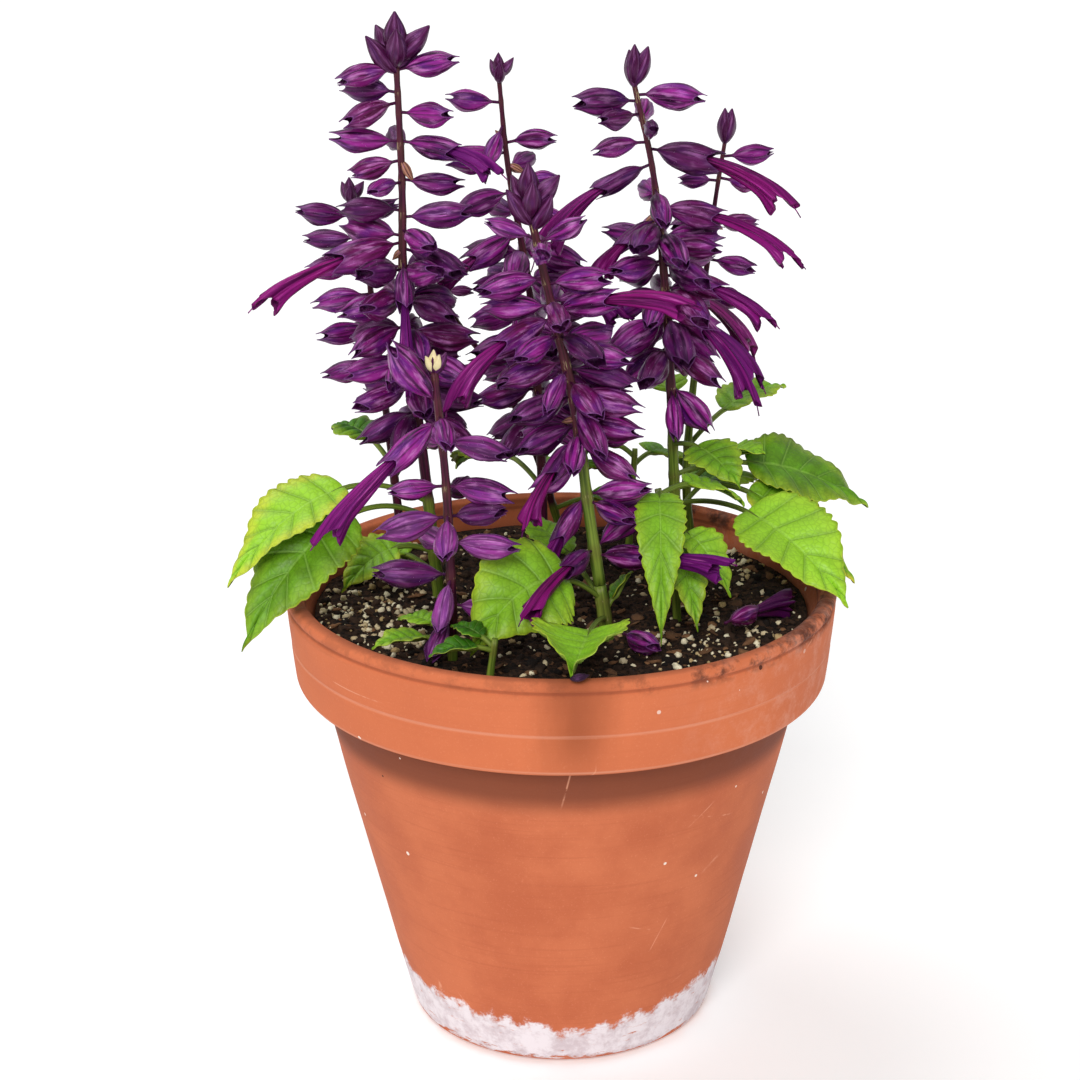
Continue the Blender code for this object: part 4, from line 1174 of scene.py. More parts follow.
def bud(shape, looks, aim, tone, draw):
    """A slim closed bud with soft ribs, pointed at both ends."""
    root, azimuth, pitch, length = aim
    at = arc(root, azimuth, pitch, length, -BUD_CURL)
    angles = np.array(circle(BUD_COLUMNS))
    down = np.linspace(*BUD_SPAN, BUD_ROWS)[:, None]
    radii = through(BUD_SWELL, down) * BUD_SLIMNESS * length
    folds = BUD_FOLD * np.cos(4 * angles) + pleated(BUD_COLUMNS, PLEAT_SCATTER, draw)
    uneven = BUD_UNEVEN * np.sin(2 * angles + BUD_STARTS * draw.random())
    radii = radii * (1 + folds * np.sin(math.pi * down) + uneven)
    grid = wrapped(at, down + 0 * angles, radii, angles + BUD_TWIST * down)
    grain = stack(np.cos(angles), np.sin(angles), down * length / GRAIN_UNIT)
    mark = stack(tone, BUD_MARK[0] + BUD_MARK[1] * down, 0.0)
    shape.body(grid, [root, at(1.0)[0]], grain, mark, looks)


def corolla(shape, looks, aim, petals, faded, draw):
    """A pleated petal tube with a hooded upper lip, a thin wall and two ruffled lower lobes turned down."""
    start, at = petal_axis(*aim, *petals)
    angles = np.array(circle(PETAL_COLUMNS))
    turn = np.degrees(angles) % 360
    lips = sorted((math.degrees(a) % 360, *lip) for a, lip in zip(circle(FLOWER_SIDES), PETAL_LIPS))
    (first, *first_lip), (last, *last_lip) = lips[0], lips[-1]
    lips = [(last - 360, *last_lip), *lips, (first + 360, *first_lip)]
    end = through([(a, share) for a, share, _ in lips], turn)
    end = end - PETAL_NOTCH * np.abs(np.cos(angles)) ** 3
    rim = through([(a, size) for a, _, size in lips], turn) - PETAL_RIM
    place = np.array(PETAL_ROWS + PETAL_INNER_ROWS)[:, None]
    outside = len(PETAL_ROWS)
    flare = ease(place, PETAL_FLARE, 1.0)
    starts = [draw.uniform(0, WHOLE_TURN) for _ in range(3)]
    pleats = PLEAT_DEPTH * np.cos(PLEATS * angles + starts[0] + PLEAT_TURN * place)
    pleats = pleats + rippled(FINE_PLEATS, starts[1:], angles, place)
    pleats = pleats + pleated(PETAL_COLUMNS, PLEAT_SCATTER, draw) - creases(angles, place, draw)
    radii = through(PETAL_TUBE, place) * (1 + pleats * (0.5 + place)) + rim * flare ** 1.6
    radii = radii + rippled(RUFFLES, starts[1:], angles, place) * flare
    radii = radii * (1 + rippled(PETAL_WAVES, starts[2:], angles, place))
    radii[outside:] -= PETAL_WALL
    shares = place * (end + rippled(EDGE_WAVES, starts, angles, place) * flare)
    flat = PETAL_FLAT + (1 - PETAL_FLAT) * flare
    grid = wrapped(at, shares, np.maximum(radii, PETAL_THINNEST), angles, flat)
    grain = stack(np.cos(angles), np.sin(angles), place * petals[0] / GRAIN_UNIT)
    mark = stack(draw.random() + faded, place, np.arange(len(grid))[:, None] >= outside)
    shape.body(grid, [start, at(COROLLA_MOUTH - 0.1)[0]], grain, mark, looks)
    style(shape, looks, at, draw)


def style(shape, looks, at, draw):
    """The thin thread that reaches out of the petals under their upper lip."""
    shares = np.linspace(STYLE_START, 1.0 + draw.uniform(*STYLE_REACH), STYLE_ROWS)[:, None]
    up = at(shares + 0 * STYLE_ANGLES)[2]
    lift = (STYLE_LIFT - draw.uniform(0, STYLE_DROP) * ease(shares, *STYLE_BEND))[..., None] * up
    grid = wrapped(at, shares, STYLE_RADIUS + 0 * STYLE_ANGLES, STYLE_ANGLES) + lift
    ends = [grid[0].mean(axis=0), grid[-1].mean(axis=0)]
    shape.body(grid, ends, grid / GRAIN_UNIT, STYLE_MARK, looks)


def teeth(shares, count):
    """How far a margin reaches at each share: rounded teeth that lean forward."""
    part = (shares * count) % 1.0
    return np.sin(math.pi * part ** TOOTH_LEAN) ** TOOTH_ROUND


def two_faced(top, under):
    """Rows that run across the top of a blade and back across its underside."""
    return np.concatenate([top, under[..., ::-1, :]], axis=-2)


def leaf(shape, looks, row, tint, curled, draw):
    """A leaf: a stalk, and a thin toothed blade that is quilted between its veins."""
    root, tip, rise, half_width, roll, petiole = row
    reach = np.linalg.norm(tip - root) * (1 - petiole)
    at = midrib(root, tip, rise, roll)
    rows = BLADE_ROWS if half_width >= SMALL_LEAF else SMALL_BLADE_ROWS
    along = (np.linspace(0, 1, rows) ** ROW_CROWDING * BLADE_SPAN + BLADE_START)[:, None]
    across = np.linspace(-1, 1, BLADE_COLUMNS)
    out = np.abs(across)
    hump = np.sin(math.pi * along)
    lean = VEIN_LEAN * hump * along ** 0.3
    place = along + lean * out
    edge = along + lean
    count = max(FEWEST_TEETH, round(reach / TOOTH_LENGTH))
    depth = min(TOOTH_REACH / half_width, DEEPEST_TOOTH)
    width = half_width * outline(edge) * (1 - depth * (1 - teeth(edge, count)))
    width = width * (1 - LEAF_TAIL * np.exp(-((along - TAIL_PLACE) / TAIL_LENGTH) ** 2))
    width = np.maximum(width, BLADE_TIP * (1 - along) + THINNEST)
    first, second = draw.uniform(0, WHOLE_TURN), draw.uniform(0, WHOLE_TURN)
    waves = draw.uniform(*RIPPLES)
    lift = LEAF_FOLD * width * out ** 1.3
    quilt = np.abs(np.sin(math.pi * VEIN_PAIRS * along)) ** 0.7 * np.sin(math.pi * out ** 0.8)
    lift = lift + min(1.0, half_width / QUILTED_WIDTH) * QUILT_HEIGHT * quilt
    lift = lift - MIDRIB_DEPTH * np.exp(-(across * width / MIDRIB_WIDTH) ** 2)
    phase = np.where(across < 0, first, second)
    ripple = np.sin(2 * math.pi * waves * along + phase) * hump ** 0.5
    lift = lift + RIPPLE * half_width * out ** 2 * ripple
    lift = lift + draw.uniform(*LEAF_CURL) * width * out ** 3
    uneven = 1 + CURL_UNEVEN * np.sign(across)
    lift = lift + curled * uneven * half_width * out ** 2.2 * hump ** 0.6
    middle, side, normal = at(petiole + (1 - petiole) * place)
    middle = middle + (across * width)[..., None] * side + lift[..., None] * normal
    half = BLADE_HALF * (1 - MARGIN_THINNING * out)[:, None] * normal
    grid = two_faced(middle + half, middle - half)
    flat = stack(across * width / GRAIN_UNIT, place * reach / GRAIN_UNIT, along)
    kind = stack(across, *tint)
    top, under, stalk = looks
    worn = np.repeat([top, under], BLADE_COLUMNS)
    ends = [grid[0].mean(axis=0), tip]
    shape.body(grid, ends, two_faced(flat, flat), two_faced(kind, kind), worn)
    leaf_stalk(shape, stalk, at, petiole, tint[0])


def leaf_stalk(shape, look, at, petiole, tint):
    """The stalk, which goes on under the blade as its midrib."""
    shares = np.linspace(0, petiole + (1 - petiole) * STALK_END, STALK_ROWS)[:, None]
    past = ease(shares, petiole, 1.0)
    angles = np.array(circle(STALK_COLUMNS))
    groove = 1 - STALK_GROOVE * np.exp(-((angles - math.pi / 2) / 0.5) ** 2)
    radii = PETIOLE_RADIUS * (1 - STALK_TAPER * past) * groove
    under = ease(shares, petiole + STALK_DIVE[0], petiole + STALK_DIVE[1])
    sunk = STALK_SUNK * under * PETIOLE_RADIUS * (1 - STALK_RISE * past)
    centre, _, normal = at(shares)
    sunk = sunk[..., None] * normal
    grid = wrapped(at, shares, radii, angles) - sunk
    centre = centre - sunk
    grain = stack(np.cos(angles), np.sin(angles), 4 * shares)
    mark = stack(0.0, STALK_RIPE * (1 - shares) * (1 - tint), 0.0)
    shape.body(grid, [centre[0, 0], centre[-1, 0]], grain, mark, look)


def stem(shape, look, path, radii, nodes, maroon_and_shade_share, draw):
    """A grooved square stem that swells a little where flowers and leaves leave it."""
    angles = np.array(circle(STEM_COLUMNS, math.pi / 4))
    corner = angles - math.pi / 4
    mean, square, groove = STEM_SECTION
    section = mean + square * np.cos(4 * corner) - groove * np.cos(8 * corner)
    rows = []
    swell = np.zeros(len(path))
    for height in nodes:
        swell = np.maximum(swell, np.exp(-((path[:, 2] - height) / SWELL_REACH) ** 2))
    for (centre, side, up), radius, swollen in zip(frames(path), radii, swell):
        size = radius * section * (1 + NODE_SWELL * swollen) * (1 + draw.uniform(-STEM_SCATTER, STEM_SCATTER))
        rows.append(centre + (size * np.cos(angles))[:, None] * side + (size * np.sin(angles))[:, None] * up)
    height = path[:, 2:3]
    grain = stack(np.cos(angles), np.sin(angles), height / GRAIN_UNIT)
    mark = stack(swell[:, None], maroon_and_shade_share(height), 0.0)
    shape.body(np.array(rows), [path[0], path[-1]], grain, mark, look)


def rounded(profile, reach, steps):
    """A closed profile with each corner rounded and its long sides cut into short pieces."""
    points = [np.array(p, float) for p in profile]
    result = []
    for before, corner, after in zip(points[-1:] + points[:-1], points, points[1:] + points[:1]):
        low, high = before - corner, after - corner
        cut = min(reach / np.linalg.norm(high), ROUNDED_SHARE)
        start = corner + low * min(reach / np.linalg.norm(low), ROUNDED_SHARE)
        end, far = corner + high * cut, after - high * cut
        for t in np.linspace(0, 1, steps):
            result.append((1 - t) ** 2 * start + 2 * t * (1 - t) * corner + t * t * end)
        pieces = int(np.linalg.norm(corner + high * (1 - ROUNDED_SHARE) - end) / WALL_STEP)
        for i in range(1, pieces + 1):
            result.append(end + (far - end) * i / (pieces + 1))
    return np.array(result)


def pot_section():
    """The pot's section with the fine groove round the band added to the CAD's corners."""
    line = POT_HEIGHT - LINE_DROP
    share = (line - (BAND_LOW + 1.6)) / (BAND_HEIGHT - LIP_GROOVE_DROP - 2.6)
    radius = BAND_LOW_RADIUS + (RIM_RADIUS - 0.6 - BAND_LOW_RADIUS) * share
    profile = pot_profile()
    cut = next(i for i, (_, z) in enumerate(profile) if z > line)
    groove = [(radius, line - LINE_HALF), (radius - LINE_DEPTH, line), (radius, line + LINE_HALF)]
    return rounded(profile[:cut] + groove + profile[cut:], CORNER_REACH, CORNER_STEPS)


def pot_shape():
    """The turned pot, with the slight unevenness of a clay wall."""
    section = pot_section()
    turn = np.linspace(0, 2 * math.pi, POT_COLUMNS, endpoint=False)[:, None]
    radius, height = section[:, 0], section[:, 1]
    uneven = rippled(POT_WAVES, (0, 0, 0), turn, height)
    radii = radius + uneven * ease(radius, 20, 40)
    grid = stack(radii * np.cos(turn), radii * np.sin(turn), height)
    wide = len(section)
    here, row = np.arange(wide), np.arange(POT_COLUMNS)[:, None]
    after, row, beyond = (here + 1) % wide, row * wide, (row + 1) % POT_COLUMNS * wide
    quads = np.stack([row + here, beyond + here, beyond + after, row + after], -1).reshape(-1, 4)
    shape = Shape()
    blank = np.zeros((wide * POT_COLUMNS, 3))
    worn = np.zeros(len(quads), int)
    shape.add(grid.reshape(-1, 3), blank, blank, quads, np.zeros((0, 3), int), worn, worn[:0])
    return shape


def soil_height(x, y):
    """The height of the fine soil at a place."""
    bumps = sum(high * noise.noise(Vector((x / wide, y / wide, level))) for wide, level, high in SOIL_LUMPS)
    return SOIL_HEIGHT + bumps + SOIL_EDGE_RISE * ease(math.hypot(x, y), *SOIL_EDGE)


def soil_shape():
    """The soil as one closed lump: a crumbly top, the side along the pot's wall and a flat underside."""
    angles = np.array(circle(SOIL_COLUMNS, 0))
    foot = (
        (INNER_BASE_RADIUS - 4.5, FLOOR_THICKNESS + GAP),
        (INNER_BASE_RADIUS - GAP, FLOOR_THICKNESS + 3.2),
        (inner_radius(BAND_LOW) - SOIL_EDGE_GAP, BAND_LOW),
    )
    rows = [stack(radius * np.cos(angles), radius * np.sin(angles), height) for radius, height in foot]
    out = inner_radius(SOIL_HEIGHT) - SOIL_EDGE_GAP
    for radius in out * np.sqrt(np.linspace(1, 0.0004, SOIL_ROWS)):
        x, y = radius * np.cos(angles), radius * np.sin(angles)
        rows.append(np.array([(a, b, soil_height(a, b)) for a, b in zip(x, y)]))
    shape = Shape()
    blank = np.zeros(3)
    ends = [(0, 0, FLOOR_THICKNESS + GAP), (0, 0, soil_height(0, 0))]
    shape.body(np.array(rows), ends, blank, blank, 0)
    return shape


def rough_grain():
    """A round grain's points and faces, which each copy squashes and dents."""
    ball = bmesh.new()
    bmesh.ops.create_icosphere(ball, subdivisions=2, radius=1.0)
    points = np.array([v.co[:] for v in ball.verts])
    faces = np.array([[v.index for v in f.verts] for f in ball.faces])
    ball.free()
    return points, faces


def scatter(shape, count, near, size, flat, dent, sunk, draw):
    """Grains thrown on the soil, denser near the given spots."""
    points, faces = rough_grain()
    reach = inner_radius(SOIL_HEIGHT) - GRAIN_EDGE_GAP
    even, spots = near
    thrown = 0
    while thrown < count:
        x, y = (draw.uniform(-reach, reach) for _ in range(2))
        chance = even + sum(
            weight * math.exp(-((x - a) ** 2 + (y - b) ** 2) / wide ** 2) for a, b, wide, weight in spots
        )
        if draw.random() > chance:
            continue
        radius = size[0] + (size[1] - size[0]) * draw.random() ** SMALL_GRAINS
        if math.hypot(x, y) + radius > reach:
            continue
        thrown += 1
        stretch = np.array([draw.uniform(*span) for span in (*GRAIN_STRETCH, flat)])
        dents = np.array([1 + draw.uniform(-dent, dent) for _ in points])[:, None]
        lie = Euler([draw.uniform(*span) for span in GRAIN_TURNS]).to_matrix()
        made = (points * dents * stretch * radius) @ np.array(lie).T
        made = made + (x, y, soil_height(x, y) + sunk * radius * stretch[2])
        shade = np.array([draw.random() for _ in range(3)])
        shape.facets(made, points * radius + GRAIN_SHIFT * shade, shade, faces, 0)


def linear(*shades):
    """A screen colour from 0 to 255 as Blender's linear one."""
    shares = [shade / 255 for shade in shades]
    return (*[s / 12.92 if s < 0.04045 else ((s + 0.055) / 1.055) ** 2.4 for s in shares], 1.0)


class Look:
    """A material made of nodes, each added by a short call that gives its output.

    A colour is a socket, or a tuple of three screen values from 0 to 255.
    """

    def __init__(self, name, rough, shine, glint=(255, 255, 255)):
        self.made = bpy.data.materials.new(name)
        self.made.use_nodes = True
        self.tree = self.made.node_tree
        self.shader = self.tree.nodes["Principled BSDF"]
        self.set("Roughness", rough)
        self.set("Specular IOR Level", shine)
        self.set("Specular Tint", linear(*glint))
        self.painted = None

    def set(self, title, value):
        """Sets or links one of the shader's own sockets."""
        self.feed(self.shader.inputs[title], value)

    def node(self, kind, feeds, out=0, **settings):
        made = self.tree.nodes.new("ShaderNode" + kind)
        for key, value in settings.items():
            setattr(made, key, value)
        for key, value in feeds.items():
            self.feed(made.inputs[key], value)
        return made.outputs[out]

    def feed(self, socket, value):
        if isinstance(value, bpy.types.NodeSocket):
            self.tree.links.new(value, socket)
        else:
            socket.default_value = value

    def vectors(self, kind, *values, out=0):
        """Arithmetic on vectors."""
        return self.node("VectorMath", dict(enumerate(values)), out=out, operation=kind)

    def scaled(self, vector, *scale):
        return self.vectors("MULTIPLY", vector, scale)

    def place(self):
        """Where a point is in the object, in millimetres."""
        return self.scaled(self.node("TexCoord", {}, out="Object"), 1000, 1000, 1000)

    def vector(self, name):
        """The three numbers of an attribute as one vector."""
        return self.node("Attribute", {}, out="Vector", attribute_name=name)

    def split(self, vector):
        """The three numbers of a vector."""
        return self.node("SeparateXYZ", {0: vector}).node.outputs

    def noise(self, vector, scale, detail=3.0, rough=0.55):
        return self.node("TexNoise", {"Vector": vector, "Scale": scale, "Detail": detail, "Roughness": rough})

    def cells(self, vector, scale, **settings):
        """The outputs of a pattern of cells, each with a colour of its own."""
        return self.node("TexVoronoi", {"Vector": vector, "Scale": scale}, **settings).node.outputs

    def number(self, kind, *values):
        """Arithmetic on numbers."""
        return self.node("Math", dict(enumerate(values)), operation=kind)

    def times(self, product, *others):
        for value in others:
            product = self.number("MULTIPLY", product, value)
        return product

    def plus(self, total, *others):
        for value in others:
            total = self.number("ADD", total, value)
        return total

    def apart(self, value, middle=0.0):
        """How far a value is from a middle one, either way."""
        return self.number("ABSOLUTE", self.plus(value, -middle) if middle else value)

    def span(self, value, low, high, to_low=0.0, to_high=1.0):
        """A value eased from one range to another, held inside it."""
        feeds = {"Value": value, "From Min": low, "From Max": high, "To Min": to_low, "To Max": to_high}
        return self.node("MapRange", feeds, interpolation_type="SMOOTHSTEP")

    def mix(self, share, first, second):
        """A share of the second colour over the first."""
        made = self.tree.nodes.new("ShaderNodeMix")
        made.data_type = "RGBA"
        for socket, value in zip((0, 6, 7), (share, first, second)):
            self.feed(made.inputs[socket], linear(*value) if isinstance(value, tuple) else value)
        return made.outputs[2]

    def paint(self, share, colour):
        """Lays a colour over what is painted so far."""
        self.painted = self.mix(share, self.painted, colour)

    def complete(self, height, depth):
        """The material as painted, with a bump whose depth is in millimetres."""
        self.set("Base Color", self.painted)
        bump = self.node("Bump", {"Height": height, "Distance": depth * MM, "Strength": 1.0})
        self.set("Normal", bump)
        return self.made


def clay_look():
    """Terracotta: mottled, with turning lines, specks, scratches and lime round the foot.

    It also has painted light: a soft painted shadow down the front of the band, painted highlights along
    the band's lines, and painted shade in the lip groove and down the inside wall.
    """
    look = Look("clay_weathered", 0.8, 0.3)
    place = look.place()
    x, y, z = look.split(place)
    mottle = look.noise(place, 0.035, 5.0, 0.6)
    turning = look.noise(look.scaled(place, 0.02, 0.02, 0.9), 1.0, 4.0, 0.6)
    grain = look.noise(place, 1.6, 3.0, 0.7)
    look.painted = look.mix(look.span(mottle, 0.3, 0.72), (186, 96, 60), (204, 114, 76))
    look.paint(look.span(turning, 0.5, 0.8, 0.0, 0.35), (168, 80, 50))
    look.paint(look.span(z, BAND_LOW - 1, BAND_LOW + 1, 0.0, 0.55), (216, 118, 74))
    look.paint(look.span(grain, 0.55, 0.75, 0.0, 0.3), (228, 150, 112))
    # A soft painted shadow of the leaf over the rim, down the front of the band
    look.paint(front_painted_shadow(look, place, x, y, z), (142, 70, 38))
    smudge = look.span(look.noise(place, 0.07, 5.0, 0.7), 0.46, 0.6, 0.0, 0.65)
    smudge = look.times(smudge, look.span(x, 0, 60, 0.4, 1.5), look.span(z, 145.5, 150))
    look.paint(smudge, (92, 48, 34))
    haze = look.span(look.noise(place, 0.16, 6.0, 0.75), 0.42, 0.72, 0.0, 0.26)
    look.paint(look.times(haze, look.span(x, 25, 70), look.span(z, 108, 118)), (232, 182, 162))
    # Pale lines along the band's groove and its lower edge: painted highlights, partly worn clay
    for line in (POT_HEIGHT - LINE_DROP, BAND_LOW + 1.2):
        pale = look.span(look.apart(z, line), 0.15, 0.8, 0.42, 0.0)
        look.paint(look.times(pale, look.span(turning, 0.35, 0.6, 0.4, 1.0)), (226, 162, 134))
    # A dark line in the groove under the lip: painted shade
    groove = look.apart(z, POT_HEIGHT - LIP_GROOVE_DROP)
    look.paint(look.span(groove, 0.2, 0.8, 0.5, 0.0), (126, 60, 38))
    look.paint(look.span(z, POT_HEIGHT - 0.9, POT_HEIGHT - 0.1, 0.0, 0.45), (138, 74, 50))
    # Darker down the pot's inside wall towards the soil: painted shade inside the pot
    look.paint(look.times(look.span(z, 138, 147, 0.8, 0.0), inside_wall(look, x, y, z)), (104, 52, 34))
    look.paint(specks(look, place, 0.085, 0.06), (240, 222, 208))
    look.paint(specks(look, look.scaled(place, 1.1, 0.9, 1.0), 0.055, 0.045), (84, 44, 30))
    look.paint(scratches(look, place, 0.022, 9.0), (226, 160, 128))
    look.paint(scratches(look, look.scaled(place, -1, 1, 1), 0.034, 5.0), (222, 152, 120))
    lime, lime_colour = lime_coat(look, place, x, z)
    look.paint(lime, lime_colour)
    look.set("Roughness", look.span(mottle, 0.3, 0.7, 0.72, 0.9))
    relief = look.plus(look.times(grain, 0.5), look.times(turning, 0.5), look.times(lime, 0.5))
    return look.complete(relief, 0.12)


def front_painted_shadow(look, place, x, y, z):
    """A painted shadow of the leaf that hangs over the front rim: a soft dark brown patch down the band."""
    wander = look.times(look.noise(look.scaled(place, 1, 1, 0.3), 0.14, 3.0), 9.0)
    aside = look.plus(look.apart(x, 4.0), wander)
    return look.times(look.span(aside, 4.0, 22.0, 0.72, 0.0), look.span(z, 112, 138),
                      look.span(y, -70, -60, 1.0, 0.0))


def inside_wall(look, x, y, z):
    """One on the pot's inside wall near the soil, and zero outside."""
    out = look.number("SQRT", look.plus(look.times(x, x), look.times(y, y)))
    return look.times(look.span(out, 85.2, 86.0, 1.0, 0.0), look.span(z, 100, 110))


def specks(look, place, scale, size):
    """Small spots, one in some of the cells of a coarse pattern."""
    cells = look.cells(place, scale)
    kept, wide, _ = look.split(cells["Color"])
    near = look.number("LESS_THAN", cells["Distance"], look.plus(look.times(wide, size), 0.012))
    return look.times(near, look.span(kept, 0.45, 0.5))


def scratches(look, place, scale, reach):
    """Fine straight pale lines, each across one cell of a coarse pattern at its own slant."""
    cells = look.cells(place, scale)
    slant = look.vectors("SUBTRACT", cells["Color"], (0.5, 0.5, 0.5))
    apart = look.vectors("SUBTRACT", place, cells["Position"])
    across = look.vectors("DOT_PRODUCT", apart, look.vectors("NORMALIZE", slant), out="Value")
    line = look.span(look.apart(across), 0.06, 0.3, 0.8, 0.0)
    near = look.span(look.vectors("LENGTH", apart, out="Value"), reach, 1.5 * reach, 1.0, 0.0)
    broken = look.span(look.noise(place, 0.14, 4.0, 0.7), 0.42, 0.58, 0.0, 0.8)
    return look.times(line, near, broken)


def lime_coat(look, place, x, z):
    """How thick the white lime lies round the pot's foot, and its colour."""
    ragged = look.noise(place, 0.16, 6.0, 0.7)
    streaky = look.noise(look.scaled(place, 0.12, 0.12, 0.6), 1.0, 6.0, 0.75)
    level = look.plus(look.times(look.apart(x), LIME_SIDE_RISE), LIME_HEIGHT)
    level = look.plus(level, look.times(look.plus(ragged, -0.5), 22.0))
    below = look.span(look.number("SUBTRACT", level, z), -1.2, 2.6)
    foot = look.plus(look.times(streaky, 16.0), -6.2)
    above = look.span(look.number("SUBTRACT", z, foot), -0.4, 0.8)
    tint = look.mix(look.span(ragged, 0.35, 0.6), (206, 194, 199), (234, 228, 232))
    return look.times(below, above, look.span(streaky, 0.30, 0.42), 0.95), tint


def soil_look():
    look = Look("soil_dark", 0.95, 0.2)
    place = look.place()
    lumps = look.noise(place, 0.45, 6.0, 0.7)
    look.painted = look.mix(look.span(lumps, 0.4, 0.62), (22, 15, 12), (70, 48, 34))
    fibre = look.noise(look.scaled(place, 0.4, 1.6, 1.0), 1.0, 4.0, 0.6)
    look.paint(look.span(fibre, 0.6, 0.7, 0.0, 0.6), (122, 88, 58))
    return look.complete(lumps, 1.2)


def grain_look(name, dark, pale, rough, depth):
    """A grain's material: each grain has its own shade, with fine pits."""
    look = Look(name, rough, 0.3)
    shade = look.split(look.vector("mark"))[0]
    pits = look.noise(look.vector("grain"), 1.7, 5.0, 0.65)
    mixed = look.plus(look.times(shade, 0.75), look.times(pits, 0.5))
    look.painted = look.mix(look.span(mixed, 0.2, 1.0), dark, pale)
    return look.complete(pits, depth)


def along_grain(look, across, along, detail=3.0):
    """A noise drawn out along an organ, and different on each one."""
    tone = look.split(look.vector("mark"))[0]
    shift = look.vectors("ADD", look.vector("grain"), look.times(tone, 37.0))
    return look.noise(look.scaled(shift, across, across, along), 1.0, detail, 0.6)


def rib_lines(look, count, thin):
    """One along the ribs that run from the stalk to the lips, and zero between them."""
    x, y, _ = look.split(look.vector("grain"))
    turn = look.times(look.number("ARCTAN2", y, x), count / 2.0)
    turn = look.plus(turn, math.pi / 2 * (1 - count / 2.0))
    return look.span(look.apart(look.number("SINE", turn)), thin, 1.0)


def calyx_look():
    """Deep violet, with darker ribs, dark lips, pale panels and a rosy stalk. Painted highlights are laid as
    pale flecks and thin rims at the lips, with painted shade inside the bell and random painted shade on
    some calyces.

    The tones above one are for what is dry, for hairs and for what has gone black.
    """
    look = Look("calyx_violet", 0.36, 0.6, (224, 150, 230))
    tone, down, inside = look.split(look.vector("mark"))
    streak = along_grain(look, 2.2, 0.4)
    highlight_fleck = along_grain(look, 2.6, 1.3, 5.0)
    patch = along_grain(look, 0.8, 0.8, 2.0)
    look.painted = look.mix(look.span(streak, 0.38, 0.62), (36, 3, 34), (152, 38, 138))
    look.paint(look.span(tone, 0.0, 0.45, 0.65, 0.0), (88, 12, 54))
    look.paint(look.span(patch, 0.48, 0.68, 0.0, 0.65), (92, 30, 124))
    look.paint(look.span(tone, 0.75, 1.0, 0.0, 0.45), (168, 90, 172))
    # Pale lilac flecks: painted highlights
    look.paint(look.span(highlight_fleck, 0.48, 0.7, 0.0, 0.6), (216, 142, 210))
    look.paint(look.times(rib_lines(look, CALYX_RIBS, 0.93), 0.6), (46, 6, 42))
    look.paint(look.span(down, 0.8, 1.02, 0.0, 0.6), (46, 14, 62))
    # A thin pale lilac line along the lips' rims: painted highlight
    look.paint(look.span(down, 0.965, 0.99, 0.0, 0.32), (160, 96, 176))
    look.paint(look.span(down, 0.1, -0.2, 0.0, 0.85), (56, 11, 36))
    # About half the calyces, and the bud heads, darkened: partly their darker tone, partly painted shade among
    # the flowers
    dark_tone_and_painted_shade = look.number("FRACT", look.times(tone, 23.0))
    look.paint(look.span(dark_tone_and_painted_shade, 0.5, 1.0, 0.0, 0.64), (34, 9, 34))
    # Darker inside the bell: painted shade
    look.paint(look.times(inside, 0.55), (58, 14, 56))
    dry = look.mix(look.span(streak, 0.4, 0.6), (74, 44, 30), (186, 134, 104))
    dry = look.mix(look.span(tone, 2.4, 2.6), dry, (236, 222, 168))
    look.paint(look.span(tone, 1.4, 1.6), dry)
    look.paint(look.span(tone, 3.9, 4.1), (222, 190, 224))
    look.paint(look.span(tone, 5.7, 5.9), (14, 9, 11))
    look.set("Roughness", look.span(highlight_fleck, 0.3, 0.7, 0.26, 0.44))
    return look.complete(look.plus(look.times(streak, 0.8), look.times(highlight_fleck, 0.4)), 0.35)


def petal_look():
    """Dark magenta petals with deep lengthwise folds, brighter towards the lips, with painted shade in dark
    streaks and deep in the throat, and painted highlights in bright streaks.
    """
    look = Look("petal_magenta", 0.36, 0.5, (240, 120, 220))
    tone, down, inside = look.split(look.vector("mark"))
    streak = along_grain(look, 3.2, 0.35, 4.0)
    look.painted = look.mix(look.span(streak, 0.38, 0.62), (50, 3, 42), (134, 17, 104))
    look.paint(look.span(down, 0.5, 0.9, 0.0, 0.35), (146, 34, 128))
    look.paint(look.span(tone, 0.2, 1.0, 0.0, 0.6), (88, 22, 108))
    # Dark streaks: painted shade in the grooves of the folds
    look.paint(look.span(along_grain(look, 7.0, 0.5, 2.0), 0.56, 0.66, 0.0, 0.6), (58, 3, 50))
    # Bright pink streaks: painted highlights
    look.paint(look.span(along_grain(look, 6.0, 0.8, 2.0), 0.62, 0.74, 0.0, 0.5), (226, 118, 200))
    # Darker deeper inside the tube: painted shade in the throat
    look.paint(look.times(inside, look.span(down, 0.98, 0.85, 0.2, 0.8)), (50, 4, 44))
    look.paint(look.span(tone, 0.99, 1.01, 0.0, 0.6), (40, 6, 34))
    return look.complete(streak, 0.4)


